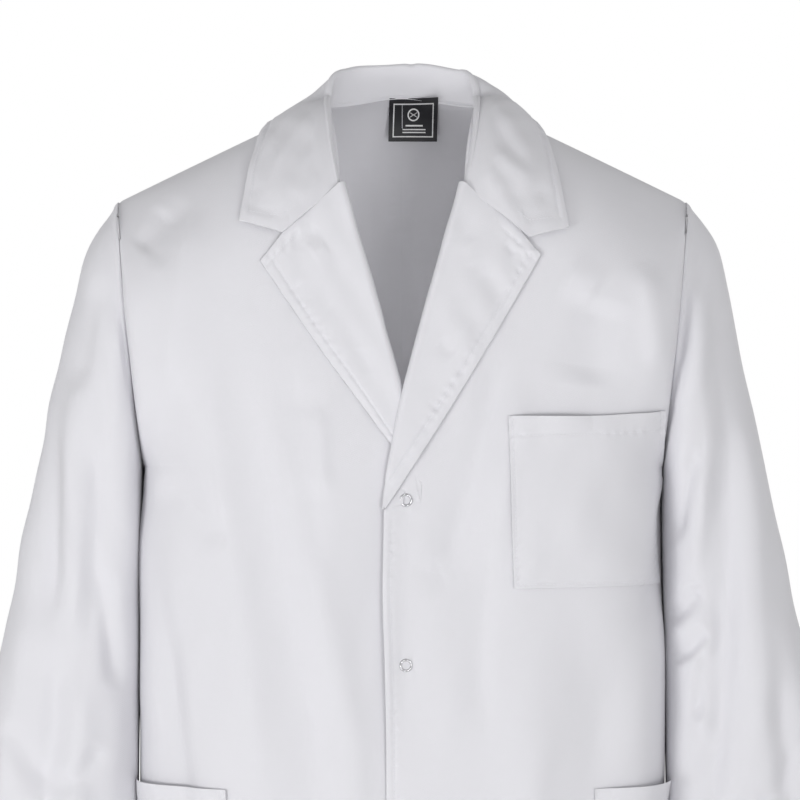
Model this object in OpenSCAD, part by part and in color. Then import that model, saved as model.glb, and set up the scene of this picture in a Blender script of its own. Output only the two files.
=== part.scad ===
// Lab coat, worn shape with the arms hanging, closed left over right with ring snaps.
// Frame: +Z up, the front faces -Y, +X is the wearer's left.
// Origin: the middle of the back neck seam height, where a hanger or the shoulders carry the coat.

/* [Body] */
// Depth of the hem below the back neck seam
coat_length = 1050; // [850:1:1250]
// Half width of the body at the underarm
chest_half_width = 229; // [190:1:270]
// Half width of the body at the hem
hem_half_width = 250; // [200:1:320]
// Depth of the front in front of the shoulder line
chest_depth = 126; // [90:1:170]
// Depth of the back behind the shoulder line
back_depth = 120; // [90:1:170]
// Thickness of the cloth with its turned edges
cloth = 1; // [0.6:0.1:2]

/* [Shoulders] */
// Sideways reach of each shoulder tip
shoulder_half = 248; // [200:1:290]
// Drop of the shoulder tip below the neck seam
shoulder_drop = 87; // [60:1:130]
// Fall of the shoulder for each millimetre outward
shoulder_slope = 0.49; // [0.3:0.01:0.7]
// Depth of the underarm below the neck seam
underarm_drop = 320; // [260:1:380]
// Half of the front to back opening of the armhole
armhole_half = 72; // [50:1:95]

/* [Collar] */
// Half width of the neck seam
neck_half = 66; // [50:1:85]
// Height of the roll over the back neck seam
collar_rise = 34; // [24:1:50]
// Reach of the collar tip from the centre
collar_tip_x = 140; // [100:1:170]
// Drop of the collar tip
collar_tip_drop = 108; // [80:1:140]
// Bend radius of the collar roll
roll_radius = 3.4; // [2.6:0.1:6]

/* [Lapels] */
// Where the lapel roll meets the collar, from the centre
break_x = 54; // [40:1:70]
// Drop of that point
break_drop = 83; // [60:1:110]
// Reach of the lapel tip from the centre
lapel_tip_x = 120; // [90:1:150]
// Drop of the lapel tip
lapel_tip_drop = 138; // [110:1:170]

/* [Opening] */
// Distance from the centre to the line where each front swings
hinge_x = 90; // [70:1:120]
// Drop of the top of the swinging fronts
flap_top = 330; // [300:1:400]
// Reach of each front edge past the centre
overlap = 15; // [10:1:40]
// Depth of the under front behind the upper front
under_shift = 5; // [4:0.1:9]
// Number of snaps
snap_count = 5; // [3:1:8]
// Drop of the first snap
snap_first = 348; // [335:1:450]
// Distance between snaps
snap_pitch = 142; // [90:1:180]
// Distance of the snap line from the centre
snap_x = 3; // [-5:0.5:8]

/* [Sleeves] */
// Half of the front to back depth of the cuff
cuff_half = 45; // [30:1:70]
// Forward reach of the cuff
cuff_forward = 38; // [0:1:80]

/* [Pockets] */
// Width of the chest pocket across the front
chest_pocket_width = 132; // [90:1:134]
// Height of the chest pocket
chest_pocket_height = 150; // [100:1:180]
// Drop of the chest pocket mouth
chest_pocket_drop = 272; // [250:1:300]
// Height of each lower pocket
lower_pocket_height = 205; // [150:1:240]
// Drop of each lower pocket mouth
lower_pocket_drop = 598; // [540:1:660]

/* [Hidden] */
gap = 0.3;
fold_gap = 0.25;
loose = 1;
seam = 0.6;
front_round = 110;
back_round = 70;
front_power = 3;
tip_z = -shoulder_drop;
arm_z = -underarm_drop;
arm_mid = (tip_z + arm_z) / 2;
arm_half_height = (tip_z - arm_z) / 2;
hem_z = -coat_length;
flap_z = -flap_top;
waist_half = chest_half_width + 3;
neck_soft = 30;
tip_run = sqrt(shoulder_half * shoulder_half + neck_soft * neck_soft);
degree = 180 / PI;
collar_end = 130;
leaf_side_x = 117;
stand_off = 4.4;
vent_z = -700;
vent_width = 40;
interlining = 0.3;
neck_back_m = 42;
neck_front_m = drop_run(shoulder_z(break_x) + break_drop - 2, front_round);
leaf_back_m = 92;
tip_m = drop_run(shoulder_z(collar_tip_x) + collar_tip_drop, front_round);
lapel_foot = overlap - 4;
pocket_in = 31;
pocket_out = 87;
side_angle = 89.97;
stack = 2 * cloth + 2 * fold_gap + interlining;
ring_radius = 5.5;
ring_hole = 3.7;
prong_circle = 4.6;
prong = 0.4;
socket_radius = 5;
socket_height = 1.5;
ring_height = 0.8;
flange = 0.4;
socket_hole = 2.4;
stud_radius = 1.7;
stud_height = 1.7;
sleeve_rows = [[shoulder_half, tip_z, chest_half_width, arm_z, armhole_half, 0],
    [273, -137, 238, -340, armhole_half + 5, -1],
    [292, -208, 245, -385, armhole_half + 2, -3],
    [314, -305, 251, -450, 64, -8],
    [343, -440, 255, -530, 57, -16],
    [372, -570, 262, -625, 50, -26],
    [401, -700, 272, -730, cuff_half, -cuff_forward]];
cloth_colour = [0.85, 0.85, 0.87];
facing_colour = [0.8, 0.8, 0.83];
lining_colour = [0.9, 0.9, 0.88];
label_colour = [0.05, 0.05, 0.07];
steel_colour = [0.75, 0.76, 0.78];

function mix(a, b, t) = a + (b - a) * t;
function clamp(v, lo, hi) = min(max(v, lo), hi);
function ease(t) = let (c = clamp(t, 0, 1)) c * c * (3 - 2 * c);
function unit(v) = v / norm(v);

// Half width of the body at a height: the armhole plane above the underarm, the torso below.
function half_width(z) =
    z > arm_z ? mix(chest_half_width, shoulder_half, (z - arm_z) / (tip_z - arm_z))
    : z > -600 ? mix(chest_half_width, waist_half, ease((arm_z - z) / (600 + arm_z)))
    : mix(waist_half, hem_half_width, pow((-600 - z) / (coat_length - 600), 1.15));

// Half depth of the armhole at a height.
function armhole(z) =
    let (t = (z - arm_mid) / arm_half_height)
    abs(t) >= 1 ? 0 : armhole_half * sqrt(1 - t * t);

// Height of the shoulder line at a distance from the centre.
function shoulder_z(x) =
    tip_z + shoulder_slope * (tip_run - sqrt(x * x + neck_soft * neck_soft));

function bulge(t) = pow(max(1 - pow(min(abs(t), 1), front_power), 0), 1 / front_power);

// Depth of the front at the centre. Below the chest it keeps the swing line straight.
function front_centre(z) =
    let (flat = chest_depth / bulge(hinge_x / half_width(min(z, flap_z))))
    z < flap_z ? flat : mix(flat, 78, pow((z - flap_z) / (30 - flap_z), 1.5));

function back_centre(z) =
    z > -150 ? mix(back_depth, 96, ease((z + 150) / 160))
    : z > -520 ? mix(back_depth, back_depth - 8, ease((-150 - z) / 370))
    : mix(back_depth - 8, back_depth + 26, pow((-520 - z) / (coat_length - 520), 1.3));

// Drop below the shoulder line for a run over the shoulder, and the matching share of depth.
function run_drop(run, round) =
    run < round * PI / 2 ? round * (1 - cos(run / round * degree))
    : round + run - round * PI / 2;

function drop_run(drop, round) =
    drop < round ? round * acos(1 - max(drop, 0) / round) / degree
    : drop - round + round * PI / 2;

function run_share(run, round) = sin(min(run / round * degree, 90));

// Point of the body at distance x from the centre and run m over the shoulder:
// m > 0 goes down the front and m < 0 down the back.
function body(x, m) =
    let (round = m > 0 ? front_round : back_round)
    let (run = abs(m))
    let (z = shoulder_z(x) - run_drop(run, round))
    let (hole = armhole(z))
    let (deep = (m > 0 ? front_centre(z) : back_centre(z)) * run_share(run, round))
    let (y = hole + (deep - hole) * bulge(x / half_width(z)))
    [x, m > 0 ? -y : y, z];

function front_at(x, z) = body(x, drop_run(shoulder_z(x) - z, front_round));
function back_at(x, z) = body(x, -drop_run(shoulder_z(x) - z, back_round));

// Ring point below the underarm: angle 0 is the centre front, 90 the side, 180 the centre back.
function ring(angle, z) =
    let (s = pow(abs(sin(angle)), 2 / front_power))
    let (c = pow(abs(cos(angle)), 2 / front_power))
    [half_width(z) * s, cos(angle) > 0 ? -front_centre(z) * c : back_centre(z) * c, z];

function ring_angle(x, z) = asin(pow(clamp(x / half_width(z), 0, 1), front_power / 2));

// Mirror to the wearer's right.
function swap(p, side) = [p[0] * side, p[1], p[2]];

function normal_of(f, u, v) =
    let (e = 0.004)
    let (a = f(min(u + e, 1), v) - f(max(u - e, 0), v))
    let (b = f(u, min(v + e, 1)) - f(u, max(v - e, 0)))
    unit(cross(a, b));

// Closed slab over the kept cells of the sheet f(u, v), between two distances along its
// normal. out is 1 or -1, so that the normal points out of the coat.
module slab(f, nu, nv, high, low, out = 1, closed = false, keep = function(u, v) true) {
    cols = closed ? nu : nu + 1;
    spots = [for (j = [0:nv], i = [0:cols - 1]) [i / nu, j / nv]];
    base = [for (g = spots) f(g[0], g[1])];
    away = [for (g = spots) out * normal_of(f, g[0], g[1])];
    n = len(spots);
    points = concat([for (k = [0:n - 1]) base[k] + away[k] * high],
        [for (k = [0:n - 1]) base[k] + away[k] * low]);
    in = function(i, j) j < 0 || j >= nv || (!closed && (i < 0 || i >= nu)) ? false
        : keep(((i + nu) % nu + 0.5) / nu, (j + 0.5) / nv);
    at = function(i, j) j * cols + i % cols;
    faces = [for (j = [0:nv - 1], i = [0:nu - 1]) if (in(i, j))
        let (a = at(i, j))
        let (b = at(i + 1, j))
        let (c = at(i + 1, j + 1))
        let (d = at(i, j + 1))
        each concat([[a, b, c], [a, c, d], [n + c, n + b, n + a], [n + d, n + c, n + a]],
            in(i, j - 1) ? [] : wall(b, a, n),
            in(i, j + 1) ? [] : wall(d, c, n),
            in(i - 1, j) ? [] : wall(a, d, n),
            in(i + 1, j) ? [] : wall(c, b, n))];
    polyhedron(points, out > 0 ? [for (t = faces) [t[2], t[1], t[0]]] : faces);
}

function wall(a, b, n) = [[a, b, n + a], [b, n + b, n + a]];

// Distance from the centre of the line where the lapel rolls.
function roll_x(z) =
    let (share = clamp((z - flap_z) / (-break_drop - flap_z), 0, 1))
    mix(-lapel_foot, break_x, pow(share, 1.25));

// Upper boundary of a front: up the lapel roll, round the neck, out along the shoulder.
function front_top(u) =
    let (break_z = -break_drop - seam)
    u < 0.3 ? let (z = mix(flap_z + 1, break_z, u / 0.3))
        [roll_x(z), drop_run(shoulder_z(roll_x(z)) - z, front_round)]
    : u < 0.5 ? let (k = (u - 0.3) / 0.2)
        [mix(break_x, neck_half, ease(k)),
            mix(drop_run(shoulder_z(break_x) - break_z, front_round), 1.5, pow(k, 1.2))]
    : [mix(neck_half, shoulder_half - seam, (u - 0.5) / 0.5), 1.5];

// A whole front: v under 0.5 is the part above the swing line's top, the rest is below it.
function front(u, v, side) = v < 0.5 ? front_high(u, v * 2, side) : front_low(u, v * 2 - 1, side);

function front_foot(u) =
    u < 0.4 ? mix(-lapel_foot, hinge_x, u / 0.4)
    : ring(mix(ring_angle(hinge_x, flap_z), 90, (u - 0.4) / 0.6), flap_z)[0];

function front_high(u, v, side) =
    let (t = front_top(u))
    let (k = v * v)
    let (z = mix(shoulder_z(t[0]) - run_drop(t[1], front_round), flap_z, k))
    let (x = min(mix(t[0], front_foot(u), k), half_width(z) - 0.01))
    tuck(front_at(x, z), side);

function front_low(u, v, side) =
    let (z = mix(flap_z, hem_z, v))
    u < 0.4 ? front_strip(u / 0.4, z, side, -lapel_foot, hinge_x)
    : let (p = ring(mix(ring_angle(hinge_x, z), side_angle, (u - 0.4) / 0.6), z))
    tuck(p, side);

function front_strip(u, z, side, x0, x1) = tuck(front_at(mix(x0, x1, u), z), side);

// Mirrors a point for the wearer's right, whose front lies under the left one at the centre.
function tuck(p, side) =
    side > 0 ? p
    : [-p[0], p[1] + under_shift * (1 - ease((p[0] - 22) / 50)) * ease((-150 - p[2]) / 120), p[2]];

module front_side(side)
    slab(function(u, v) front(u, v, side), 15, 26, 0, -cloth, -side,
        keep = function(u, v) v < 0.5 || u > 0.4);

module front_edge(side)
    slab(function(u, v) front_strip(u, mix(flap_z - seam, hem_z, v), side,
            side > 0 ? -overlap : -overlap - 2, hinge_x - seam),
        14, 7, 0, -cloth, -side);

module edge_layer(side, reach, depth, thick)
    slab(function(u, v) front_strip(u, mix(flap_z - 2, hem_z + 1, v), side, -overlap + 1, reach),
        10, 7, -depth, -depth - thick, -side);

// The lapel: from the roll line out to the lapel edge, lying on the front.
function lapel_point(u, v, side) =
    let (z0 = mix(-break_drop - 3, flap_z + 3, v))
    let (x1 = mix(lapel_tip_x, 6, v))
    let (z1 = mix(-lapel_tip_drop, flap_z + 3, v))
    let (bow = 4 * sin(180 * v) * u)
    tuck(front_at(mix(roll_x(z0) + 1, x1, u) + bow, mix(z0, z1, u)), side);

module lapel(side)
    slab(function(u, v) lapel_point(u, v, side), 8, 10, loose + 2 * cloth, loose, -side);

function back_top(u) =
    u < 0.3 ? let (a = u / 0.3 * 90)
        [max(neck_half * sin(a), seam / 2), -max(neck_back_m * cos(a), 1.5)]
    : [mix(neck_half, shoulder_half - seam, (u - 0.3) / 0.7), -1.5];

function back(u, v, side) =
    v < 0.4 ? let (t = back_top(u))
        let (k = pow(v / 0.4, 1.8))
        let (z = mix(shoulder_z(t[0]) - run_drop(-t[1], back_round), flap_z, k))
        let (foot = back_ring(u, flap_z)[0])
        let (x = min(mix(t[0], foot, k), half_width(z) - 0.01))
        swap(back_at(x, z), side)
    : swap(back_ring(u, mix(flap_z, hem_z, (v - 0.4) / 0.6)), side);

function back_ring(u, z) =
    let (p = ring(180 - min(spread(u), side_angle), z))
    [max(p[0], seam / 2), p[1], p[2]];

// Angle whose ring point lies at an even share u of the way out to the side.
function spread(u) = asin(pow(sin(90 * clamp(u, 0, 1)), front_power / 2));

module back_panel(side)
    slab(function(u, v) back(u, v, side), 14, 25, 0, -cloth, side);

module hem(f, u0, u1, side, out)
    slab(function(u, v) f(mix(u0, u1, u), mix(0.965, 0.998, v), side), 10, 2,
        -cloth - loose, -2 * cloth - loose, out);

// Neck seam, as distance from the centre and run over the shoulder, for an angle
// from 0 at the centre back to collar_end at the break.
function neck_seam(a) =
    a < 90 ? [neck_half * sin(a), -neck_back_m * cos(a)]
    : let (k = (a - 90) / (collar_end - 90))
    [neck_half - (neck_half - break_x) * k * k, neck_front_m * pow(k, 0.75)];

function roll_z(a) =
    a < 50 ? collar_rise - 6 * pow(a / 50, 2)
    : let (k = (a - 50) / (collar_end - 50))
    collar_rise - 6 - (collar_rise - 6 + break_drop - 3) * pow(k, 2);

// Outer edge of the collar leaf, in the same two measures as the neck seam.
function leaf_edge(a) =
    a < 85 ? [leaf_side_x * sin(a * 90 / 85), -leaf_back_m * cos(a * 90 / 85)]
    : let (k = (a - 85) / (collar_end - 85))
    [mix(leaf_side_x, collar_tip_x, k), tip_m * k];

// Middle surface of the folded collar: w from 0 to 0.3 is the stand, to 0.45 the roll,
// and to 1 the leaf.
function collar(a, w) =
    let (s = neck_seam(a))
    let (foot = body(s[0], s[1]))
    let (radius = roll_radius)
    let (rise = max(roll_z(a) - foot[2], 2 * radius) - radius)
    let (out = unit([foot[0] + 0.01, foot[1] - 4, 0]))
    let (up = [0, 0, 1])
    let (stand = stand_off + 2.2)
    w < 0.3 ? foot + up * mix(stand - 3, rise + stand, w / 0.3) - out * radius * (w / 0.3)
    : w < 0.45 ? let (t = (w - 0.3) / 0.15 * 180)
        foot + up * (rise + stand + radius * sin(t)) - out * radius * cos(t)
    : let (k = (w - 0.45) / 0.55)
    let (e = leaf_edge(a))
    let (dip = 20 * sin(min(k / 0.6, 1) * 90) * (1 - ease((k - 0.6) / 0.4))
        * pow(clamp((a - 85) / (collar_end - 85), 0, 1), 6))
    let (q = body(mix(s[0], e[0], k), mix(s[1], e[1], k) + dip))
    let (fall = pow(1 - k, 1.6))
    q + (out * radius + up * (rise + stand)) * fall + lift_dir(q, s, e, k, dip) * 3 * (1 - fall)
        + lift_dir(q, s, e, k, dip) * (stand_off - 1) * ease(k * 2);

function lift_dir(q, s, e, k, dip) =
    let (x = mix(s[0], e[0], k))
    let (m = mix(s[1], e[1], k) + dip)
    unit(cross(body(x, m + 0.5) - body(x, m - 0.5), body(x + 0.5, m) - body(x - 0.5, m)));

function collar_all(u, w) =
    let (a = (u - 0.5) * 2 * collar_end)
    let (p = collar(abs(a), w))
    a < 0 ? [-p[0], p[1], p[2]] : p;

module collar_layer(low, high)
    slab(function(u, w) collar_all(mix(0.0015, 0.9985, u), w), 32, 12, high, low);

module sleeve_slab(side, v0, v1, nv, high, low)
    slab(function(u, v) swap(sleeve(u, mix(v0, v1, v)), side), 22, nv, high, low, side, true);

// Sleeve: rings from the armhole down to the cuff, each between an outer and an inner edge.
function spline(rows, v) =
    let (n = len(rows) - 1)
    let (k = min(floor(clamp(v, 0, 1) * n), n - 1))
    let (t = v * n - k)
    let (p0 = rows[max(k - 1, 0)])
    let (p3 = rows[min(k + 2, n)])
    let (m1 = (rows[k + 1] - p0) / 2)
    let (m2 = (p3 - rows[k]) / 2)
    rows[k] * (2 * t * t * t - 3 * t * t + 1) + m1 * (t * t * t - 2 * t * t + t)
        + rows[k + 1] * (3 * t * t - 2 * t * t * t) + m2 * (t * t * t - t * t);

function sleeve(u, v) =
    let (r = spline(sleeve_rows, v))
    let (a = u * 360)
    let (cap = (1 - ease(v * 8)) * seam)
    [(r[0] + r[2]) / 2 + (r[0] - r[2]) / 2 * cos(a) + cap * 1.5,
        r[5] - r[4] * sin(a), (r[1] + r[3]) / 2 + (r[1] - r[3]) / 2 * cos(a)];

// Rings and round parts sit along the snap line, each facing out of the front.
module at_snaps(depth)
    for (i = [0:snap_count - 1])
        translate([snap_x, front_at(snap_x, -snap_first - i * snap_pitch)[1] + depth,
            -snap_first - i * snap_pitch])
            rotate([90, 0, 0]) children();

module ring_shape(outer, inner, height)
    rotate_extrude($fn = 24)
        translate([inner, 0]) square([outer - inner, height]);

module prongs(reach)
    for (k = [0:4])
        rotate(k * 72)
            translate([prong_circle, 0, 0.1 - reach / 2])
                cube([prong, 2 * prong, reach + 0.2], center = true);

module left_front_side() color(cloth_colour) front_side(1);
module right_front_side() color(cloth_colour) front_side(-1);
module left_front_edge() color(cloth_colour) front_edge(1);
module right_front_edge() color(cloth_colour) front_edge(-1);
module left_edge_interlining() color(lining_colour)
    edge_layer(1, 52, cloth + fold_gap, interlining);
module right_edge_interlining() color(lining_colour)
    edge_layer(-1, 52, cloth + fold_gap, interlining);
module left_front_facing() color(facing_colour)
    edge_layer(1, 62, cloth + 2 * fold_gap + interlining, cloth);
module right_front_facing() color(facing_colour)
    edge_layer(-1, 62, cloth + 2 * fold_gap + interlining, cloth);
module left_lapel() color(facing_colour) lapel(1);
module right_lapel() color(facing_colour) lapel(-1);
module left_back() color(cloth_colour) back_panel(1);
module right_back() color(cloth_colour) back_panel(-1);
module back_vent_underlap() color(cloth_colour)
    slab(function(u, v) back_at(mix(-3, vent_width, u), mix(vent_z, hem_z + 1, v)), 4, 8,
        -cloth - gap, -2 * cloth - gap, 1);
module upper_collar() color(cloth_colour) collar_layer(0, cloth);
module collar_interlining() color(lining_colour)
    collar_layer(-fold_gap - interlining, -fold_gap);
module under_collar() color(facing_colour)
    collar_layer(-2 * fold_gap - interlining - cloth, -2 * fold_gap - interlining);
module neck_tape() color(facing_colour)
    slab(function(u, v) let (s = neck_seam(mix(-74, 74, u) * sign_of(u)))
            swap(body(s[0], s[1] - mix(1, 11, v)), sign_of(u)),
        16, 2, -cloth - loose, -2 * cloth - loose, 1);
function sign_of(u) = u < 0.5 ? -1 : 1;
module neck_label() color(label_colour)
    slab(function(u, v) back_at(mix(-11, 30, u), mix(-2, -38, v)), 6, 4,
        -2 * cloth - loose - gap, -2.5 * cloth - loose - gap, 1);
module left_sleeve() color(cloth_colour) sleeve_slab(1, 0, 1, 18, 0, -cloth);
module right_sleeve() color(cloth_colour) sleeve_slab(-1, 0, 1, 18, 0, -cloth);
module left_sleeve_hem() color(facing_colour)
    sleeve_slab(1, 0.955, 0.998, 2, -cloth - gap, -2 * cloth - gap);
module right_sleeve_hem() color(facing_colour)
    sleeve_slab(-1, 0.955, 0.998, 2, -cloth - gap, -2 * cloth - gap);
module chest_pocket() color(cloth_colour)
    slab(function(u, v) chest_point(u, v), 12, 7, 2 * cloth + 2 * loose, cloth + 2 * loose, -1);
module chest_pocket_mouth_hem() color(facing_colour)
    slab(function(u, v) chest_point(mix(0.04, 0.93, u), mix(0.02, 0.11, v)), 12, 2,
        cloth + loose, loose, -1);
function chest_point(u, v) =
    front_at(hinge_x + 2 + mix(0, chest_pocket_width, u),
        -chest_pocket_drop - chest_pocket_height * v);
function lower_point(u, v, side) =
    let (z = -lower_pocket_drop - lower_pocket_height * v)
    tuck(ring(mix(pocket_in, pocket_out, u), z), side);
module lower_pocket(side)
    slab(function(u, v) lower_point(u, v, side), 10, 7, 2 * cloth + 2 * loose,
        cloth + 2 * loose, -side);
module lower_mouth(side)
    slab(function(u, v) lower_point(mix(0.02, 0.98, u), mix(0.01, 0.09, v), side), 10, 2,
        cloth + loose, loose, -side);
module left_lower_pocket() color(cloth_colour) lower_pocket(1);
module right_lower_pocket() color(cloth_colour) lower_pocket(-1);
module left_pocket_mouth_hem() color(facing_colour) lower_mouth(1);
module right_pocket_mouth_hem() color(facing_colour) lower_mouth(-1);
module left_front_hem() color(facing_colour)
    hem(function(u, v, side) front(u, v, side), 0.405, 0.995, 1, -1);
module right_front_hem() color(facing_colour)
    hem(function(u, v, side) front(u, v, side), 0.405, 0.995, -1, 1);
module left_back_hem() color(facing_colour)
    hem(function(u, v, side) back(u, v, side), 0.2, 0.98, 1, 1);
module right_back_hem() color(facing_colour)
    hem(function(u, v, side) back(u, v, side), 0.01, 0.98, -1, -1);
module snap_cap_rings() color(steel_colour) at_snaps(0) {
    ring_shape(ring_radius, ring_hole, ring_height);
    prongs(stack);
}
module snap_sockets() color(steel_colour) at_snaps(stack + socket_height)
    difference() {
        cylinder(h = socket_height, r = socket_radius, $fn = 24);
        translate([0, 0, -1]) cylinder(h = socket_height + 2, r = socket_hole, $fn = 24);
    }
module snap_studs() color(steel_colour) at_snaps(under_shift) {
    cylinder(h = flange, r = socket_radius, $fn = 24);
    cylinder(h = stud_height, r = stud_radius, $fn = 24);
}
module snap_stud_rings() color(steel_colour) at_snaps(under_shift + stack + ring_height) {
    ring_shape(ring_radius, ring_hole, ring_height);
    translate([0, 0, stack + ring_height - 0.2]) prongs(stack);
}

left_front_side();
right_front_side();
left_front_edge();
right_front_edge();
left_front_facing();
right_front_facing();
left_edge_interlining();
right_edge_interlining();
left_lapel();
right_lapel();
left_back();
right_back();
back_vent_underlap();
upper_collar();
under_collar();
collar_interlining();
neck_tape();
neck_label();
left_sleeve();
right_sleeve();
left_sleeve_hem();
right_sleeve_hem();
chest_pocket();
chest_pocket_mouth_hem();
left_lower_pocket();
right_lower_pocket();
left_pocket_mouth_hem();
right_pocket_mouth_hem();
left_front_hem();
right_front_hem();
left_back_hem();
right_back_hem();
snap_cap_rings();
snap_sockets();
snap_studs();
snap_stud_rings();
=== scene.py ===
"""Lab coat looks: cloth with folds, turned edges, stitches, label and ring snaps.
Working units are millimetres in the part's frame, turned into metres when a mesh is made.
side is 1 for the wearer's left half and -1 for the right one."""
import math
import bpy
import numpy as np
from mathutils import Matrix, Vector
from numpy import clip, concatenate, cos, exp, linspace, sin, stack, where


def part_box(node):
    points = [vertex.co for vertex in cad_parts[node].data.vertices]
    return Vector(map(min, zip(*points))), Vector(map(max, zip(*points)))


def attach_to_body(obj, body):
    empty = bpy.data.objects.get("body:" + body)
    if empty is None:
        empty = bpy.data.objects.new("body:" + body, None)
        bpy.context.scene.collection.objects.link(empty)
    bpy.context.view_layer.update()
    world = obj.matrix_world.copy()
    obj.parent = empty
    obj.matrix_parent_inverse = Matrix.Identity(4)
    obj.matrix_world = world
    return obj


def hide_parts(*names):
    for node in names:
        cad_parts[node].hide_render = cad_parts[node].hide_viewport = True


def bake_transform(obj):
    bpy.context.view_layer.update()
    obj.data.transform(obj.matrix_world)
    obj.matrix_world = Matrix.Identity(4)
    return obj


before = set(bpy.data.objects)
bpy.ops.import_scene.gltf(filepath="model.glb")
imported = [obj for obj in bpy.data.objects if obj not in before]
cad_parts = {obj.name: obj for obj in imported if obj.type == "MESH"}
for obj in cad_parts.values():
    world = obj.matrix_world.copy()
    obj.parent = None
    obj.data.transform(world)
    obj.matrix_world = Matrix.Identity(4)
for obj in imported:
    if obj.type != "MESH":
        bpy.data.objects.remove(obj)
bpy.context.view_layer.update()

MM = 0.001
FORWARD = np.array([0.0, -1.0, 0.0])
UP = np.array([0.0, 0.0, 1.0])


def box_mm(node):
    lo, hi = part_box(node)
    return np.array(lo) / MM, np.array(hi) / MM


# ---- sizes, read from the frame
_lo, _hi = box_mm("left_back")
HEM_Z = _lo[2]
HEM_HALF = _hi[0]
_lo, _hi = box_mm("left_sleeve")
TIP_X, TIP_Z = 252.0, _hi[2]    # shoulder tip
ARM_Z, ARM_HALF = -320.0, 72.0  # underarm, and the armhole's half depth
ARM_MID, ARM_TALL = (TIP_Z + ARM_Z) / 2, (TIP_Z - ARM_Z) / 2
ARM_SHARE = 0.985               # share of a side line's upper rows that lies on the armhole
_lo, _hi = box_mm("left_front_edge")
EDGE_X, HINGE_X, CHEST = -_lo[0], 90.0, 126.0
FLAP_Z = -330.0                 # the fronts swing below this height
CHEST_HALF, FLARE_Z = 229.0, -600.0  # half width at the chest; it grows below FLARE_Z
BACK = 120.0
NECK_HALF, BREAK_X, BREAK_Z = 66.0, 54.0, -83.0
LAPEL_FOOT = -357.0
FRONT_ROUND, BACK_ROUND = 110.0, 70.0
SLOPE, NECK_SOFT = 0.49, 30.0
TIP_RUN = math.hypot(TIP_X, NECK_SOFT)
COLLAR_END = 130.0              # degrees round the neck from the centre back
NECK_BACK = 39.0
CLOTH = 0.9
HEM_LAYER, FACING_LAYER = (-1.3, 0.7), (-1.9, 0.7)  # lift over the cloth's face, and thickness
CORE_LAYER, STRIP_LAYER = (-1.2, 0.3), (-1.15, 0.6)
SIDE_POWER = 3                  # of the rounding towards the side line
HEM_STITCH, EDGE_STITCH, TURN_STITCH = 24.0, 6.5, 7.5
GORGE_STITCH, POCKET_STITCH, MOUTH_STITCH = 7.0, 3.0, 17.0


def ease(t):
    t = clip(t, 0, 1)
    return t * t * (3 - 2 * t)


def mix(a, b, t):
    return a + (b - a) * t


def grid(rows, cols):
    return np.meshgrid(rows, cols, indexing="ij")


def half_width(z):
    """Distance of the side line from the centre."""
    up = mix(CHEST_HALF, TIP_X, (z - ARM_Z) / (TIP_Z - ARM_Z))
    mid = mix(CHEST_HALF, CHEST_HALF + 3, ease((ARM_Z - z) / 280))
    low = mix(CHEST_HALF + 3, HEM_HALF, clip((FLARE_Z - z) / (FLARE_Z - HEM_Z), 0, 2) ** 1.15)
    return where(z > ARM_Z, up, where(z > FLARE_Z, mid, low))


def armhole(z, top, inset):
    """Half depth of the armhole at its rim, softened with the distance inset from it."""
    mid, half = (top + ARM_Z) / 2, (top - ARM_Z) / 2
    level = clip(1 - ((z - mid) / half) ** 2, 0, 1)
    return ARM_HALF * level ** (2 - 1.5 * exp(-np.maximum(inset, 0) / 14))


def shoulder_z(x):
    return TIP_Z + SLOPE * (TIP_RUN - np.sqrt(x * x + NECK_SOFT ** 2))


def bulge(t):
    return clip(1 - clip(np.abs(t), 0, 1) ** SIDE_POWER, 0, 1) ** (1 / SIDE_POWER)


def bulge_angle(x, reach):
    """Angle of a place x on the rounding of half width reach."""
    return np.arcsin(clip(x / reach, 0, 1) ** (SIDE_POWER / 2))


def bulge_x(angle, reach):
    return reach * sin(angle) ** (2 / SIDE_POWER)


def front_centre(z):
    flat = CHEST / bulge(HINGE_X / half_width(np.minimum(z, FLAP_Z)))
    up = mix(flat, 78, clip((z - FLAP_Z) / (30 - FLAP_Z), 0, 1.5) ** 1.5)
    return where(z < FLAP_Z, flat, up)


def back_centre(z):
    top = mix(BACK, 96, ease((z + 150) / 160))
    mid = mix(BACK, BACK - 8, ease((-150 - z) / 370))
    low = mix(BACK - 8, BACK + 26, clip((-520 - z) / (-HEM_Z - 520), 0, 2) ** 1.3)
    return where(z > -150, top, where(z > -520, mid, low))


def run_drop(run, rnd):
    """Drop after a run over a shoulder of radius rnd."""
    bent = rnd * (1 - cos(clip(run / rnd, 0, math.pi / 2)))
    return bent + np.maximum(run - rnd * math.pi / 2, 0)


def drop_run(drop, rnd):
    bent = rnd * np.arccos(clip(1 - drop / rnd, 0, 1))
    return bent + np.maximum(drop - rnd, 0)


def body(x, m):
    """Base shape: distance x from the centre, run m over the shoulder (front if above 0)."""
    front = m > 0
    rnd = where(front, FRONT_ROUND, BACK_ROUND)
    run = np.abs(m)
    z = shoulder_z(x) - run_drop(run, rnd)
    hole = armhole(z, shoulder_z(x), half_width(z) - x)
    deep = where(front, front_centre(z), back_centre(z))
    deep = deep * sin(clip(run / rnd, 0, math.pi / 2))
    y = hole + (deep - hole) * bulge(x / half_width(z))
    return stack([x, where(front, -y, y), z], -1)


def front_m(x, z):
    return drop_run(shoulder_z(x) - z, FRONT_ROUND)


def back_m(x, z):
    return -drop_run(shoulder_z(x) - z, BACK_ROUND)


def unit(v):
    return v / np.maximum(np.linalg.norm(v, axis=-1, keepdims=True), 1e-9)


def normals(fn, a, b, e=0.4):
    return unit(np.cross(fn(a + e, b) - fn(a - e, b), fn(a, b + e) - fn(a, b - e)))


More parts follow.
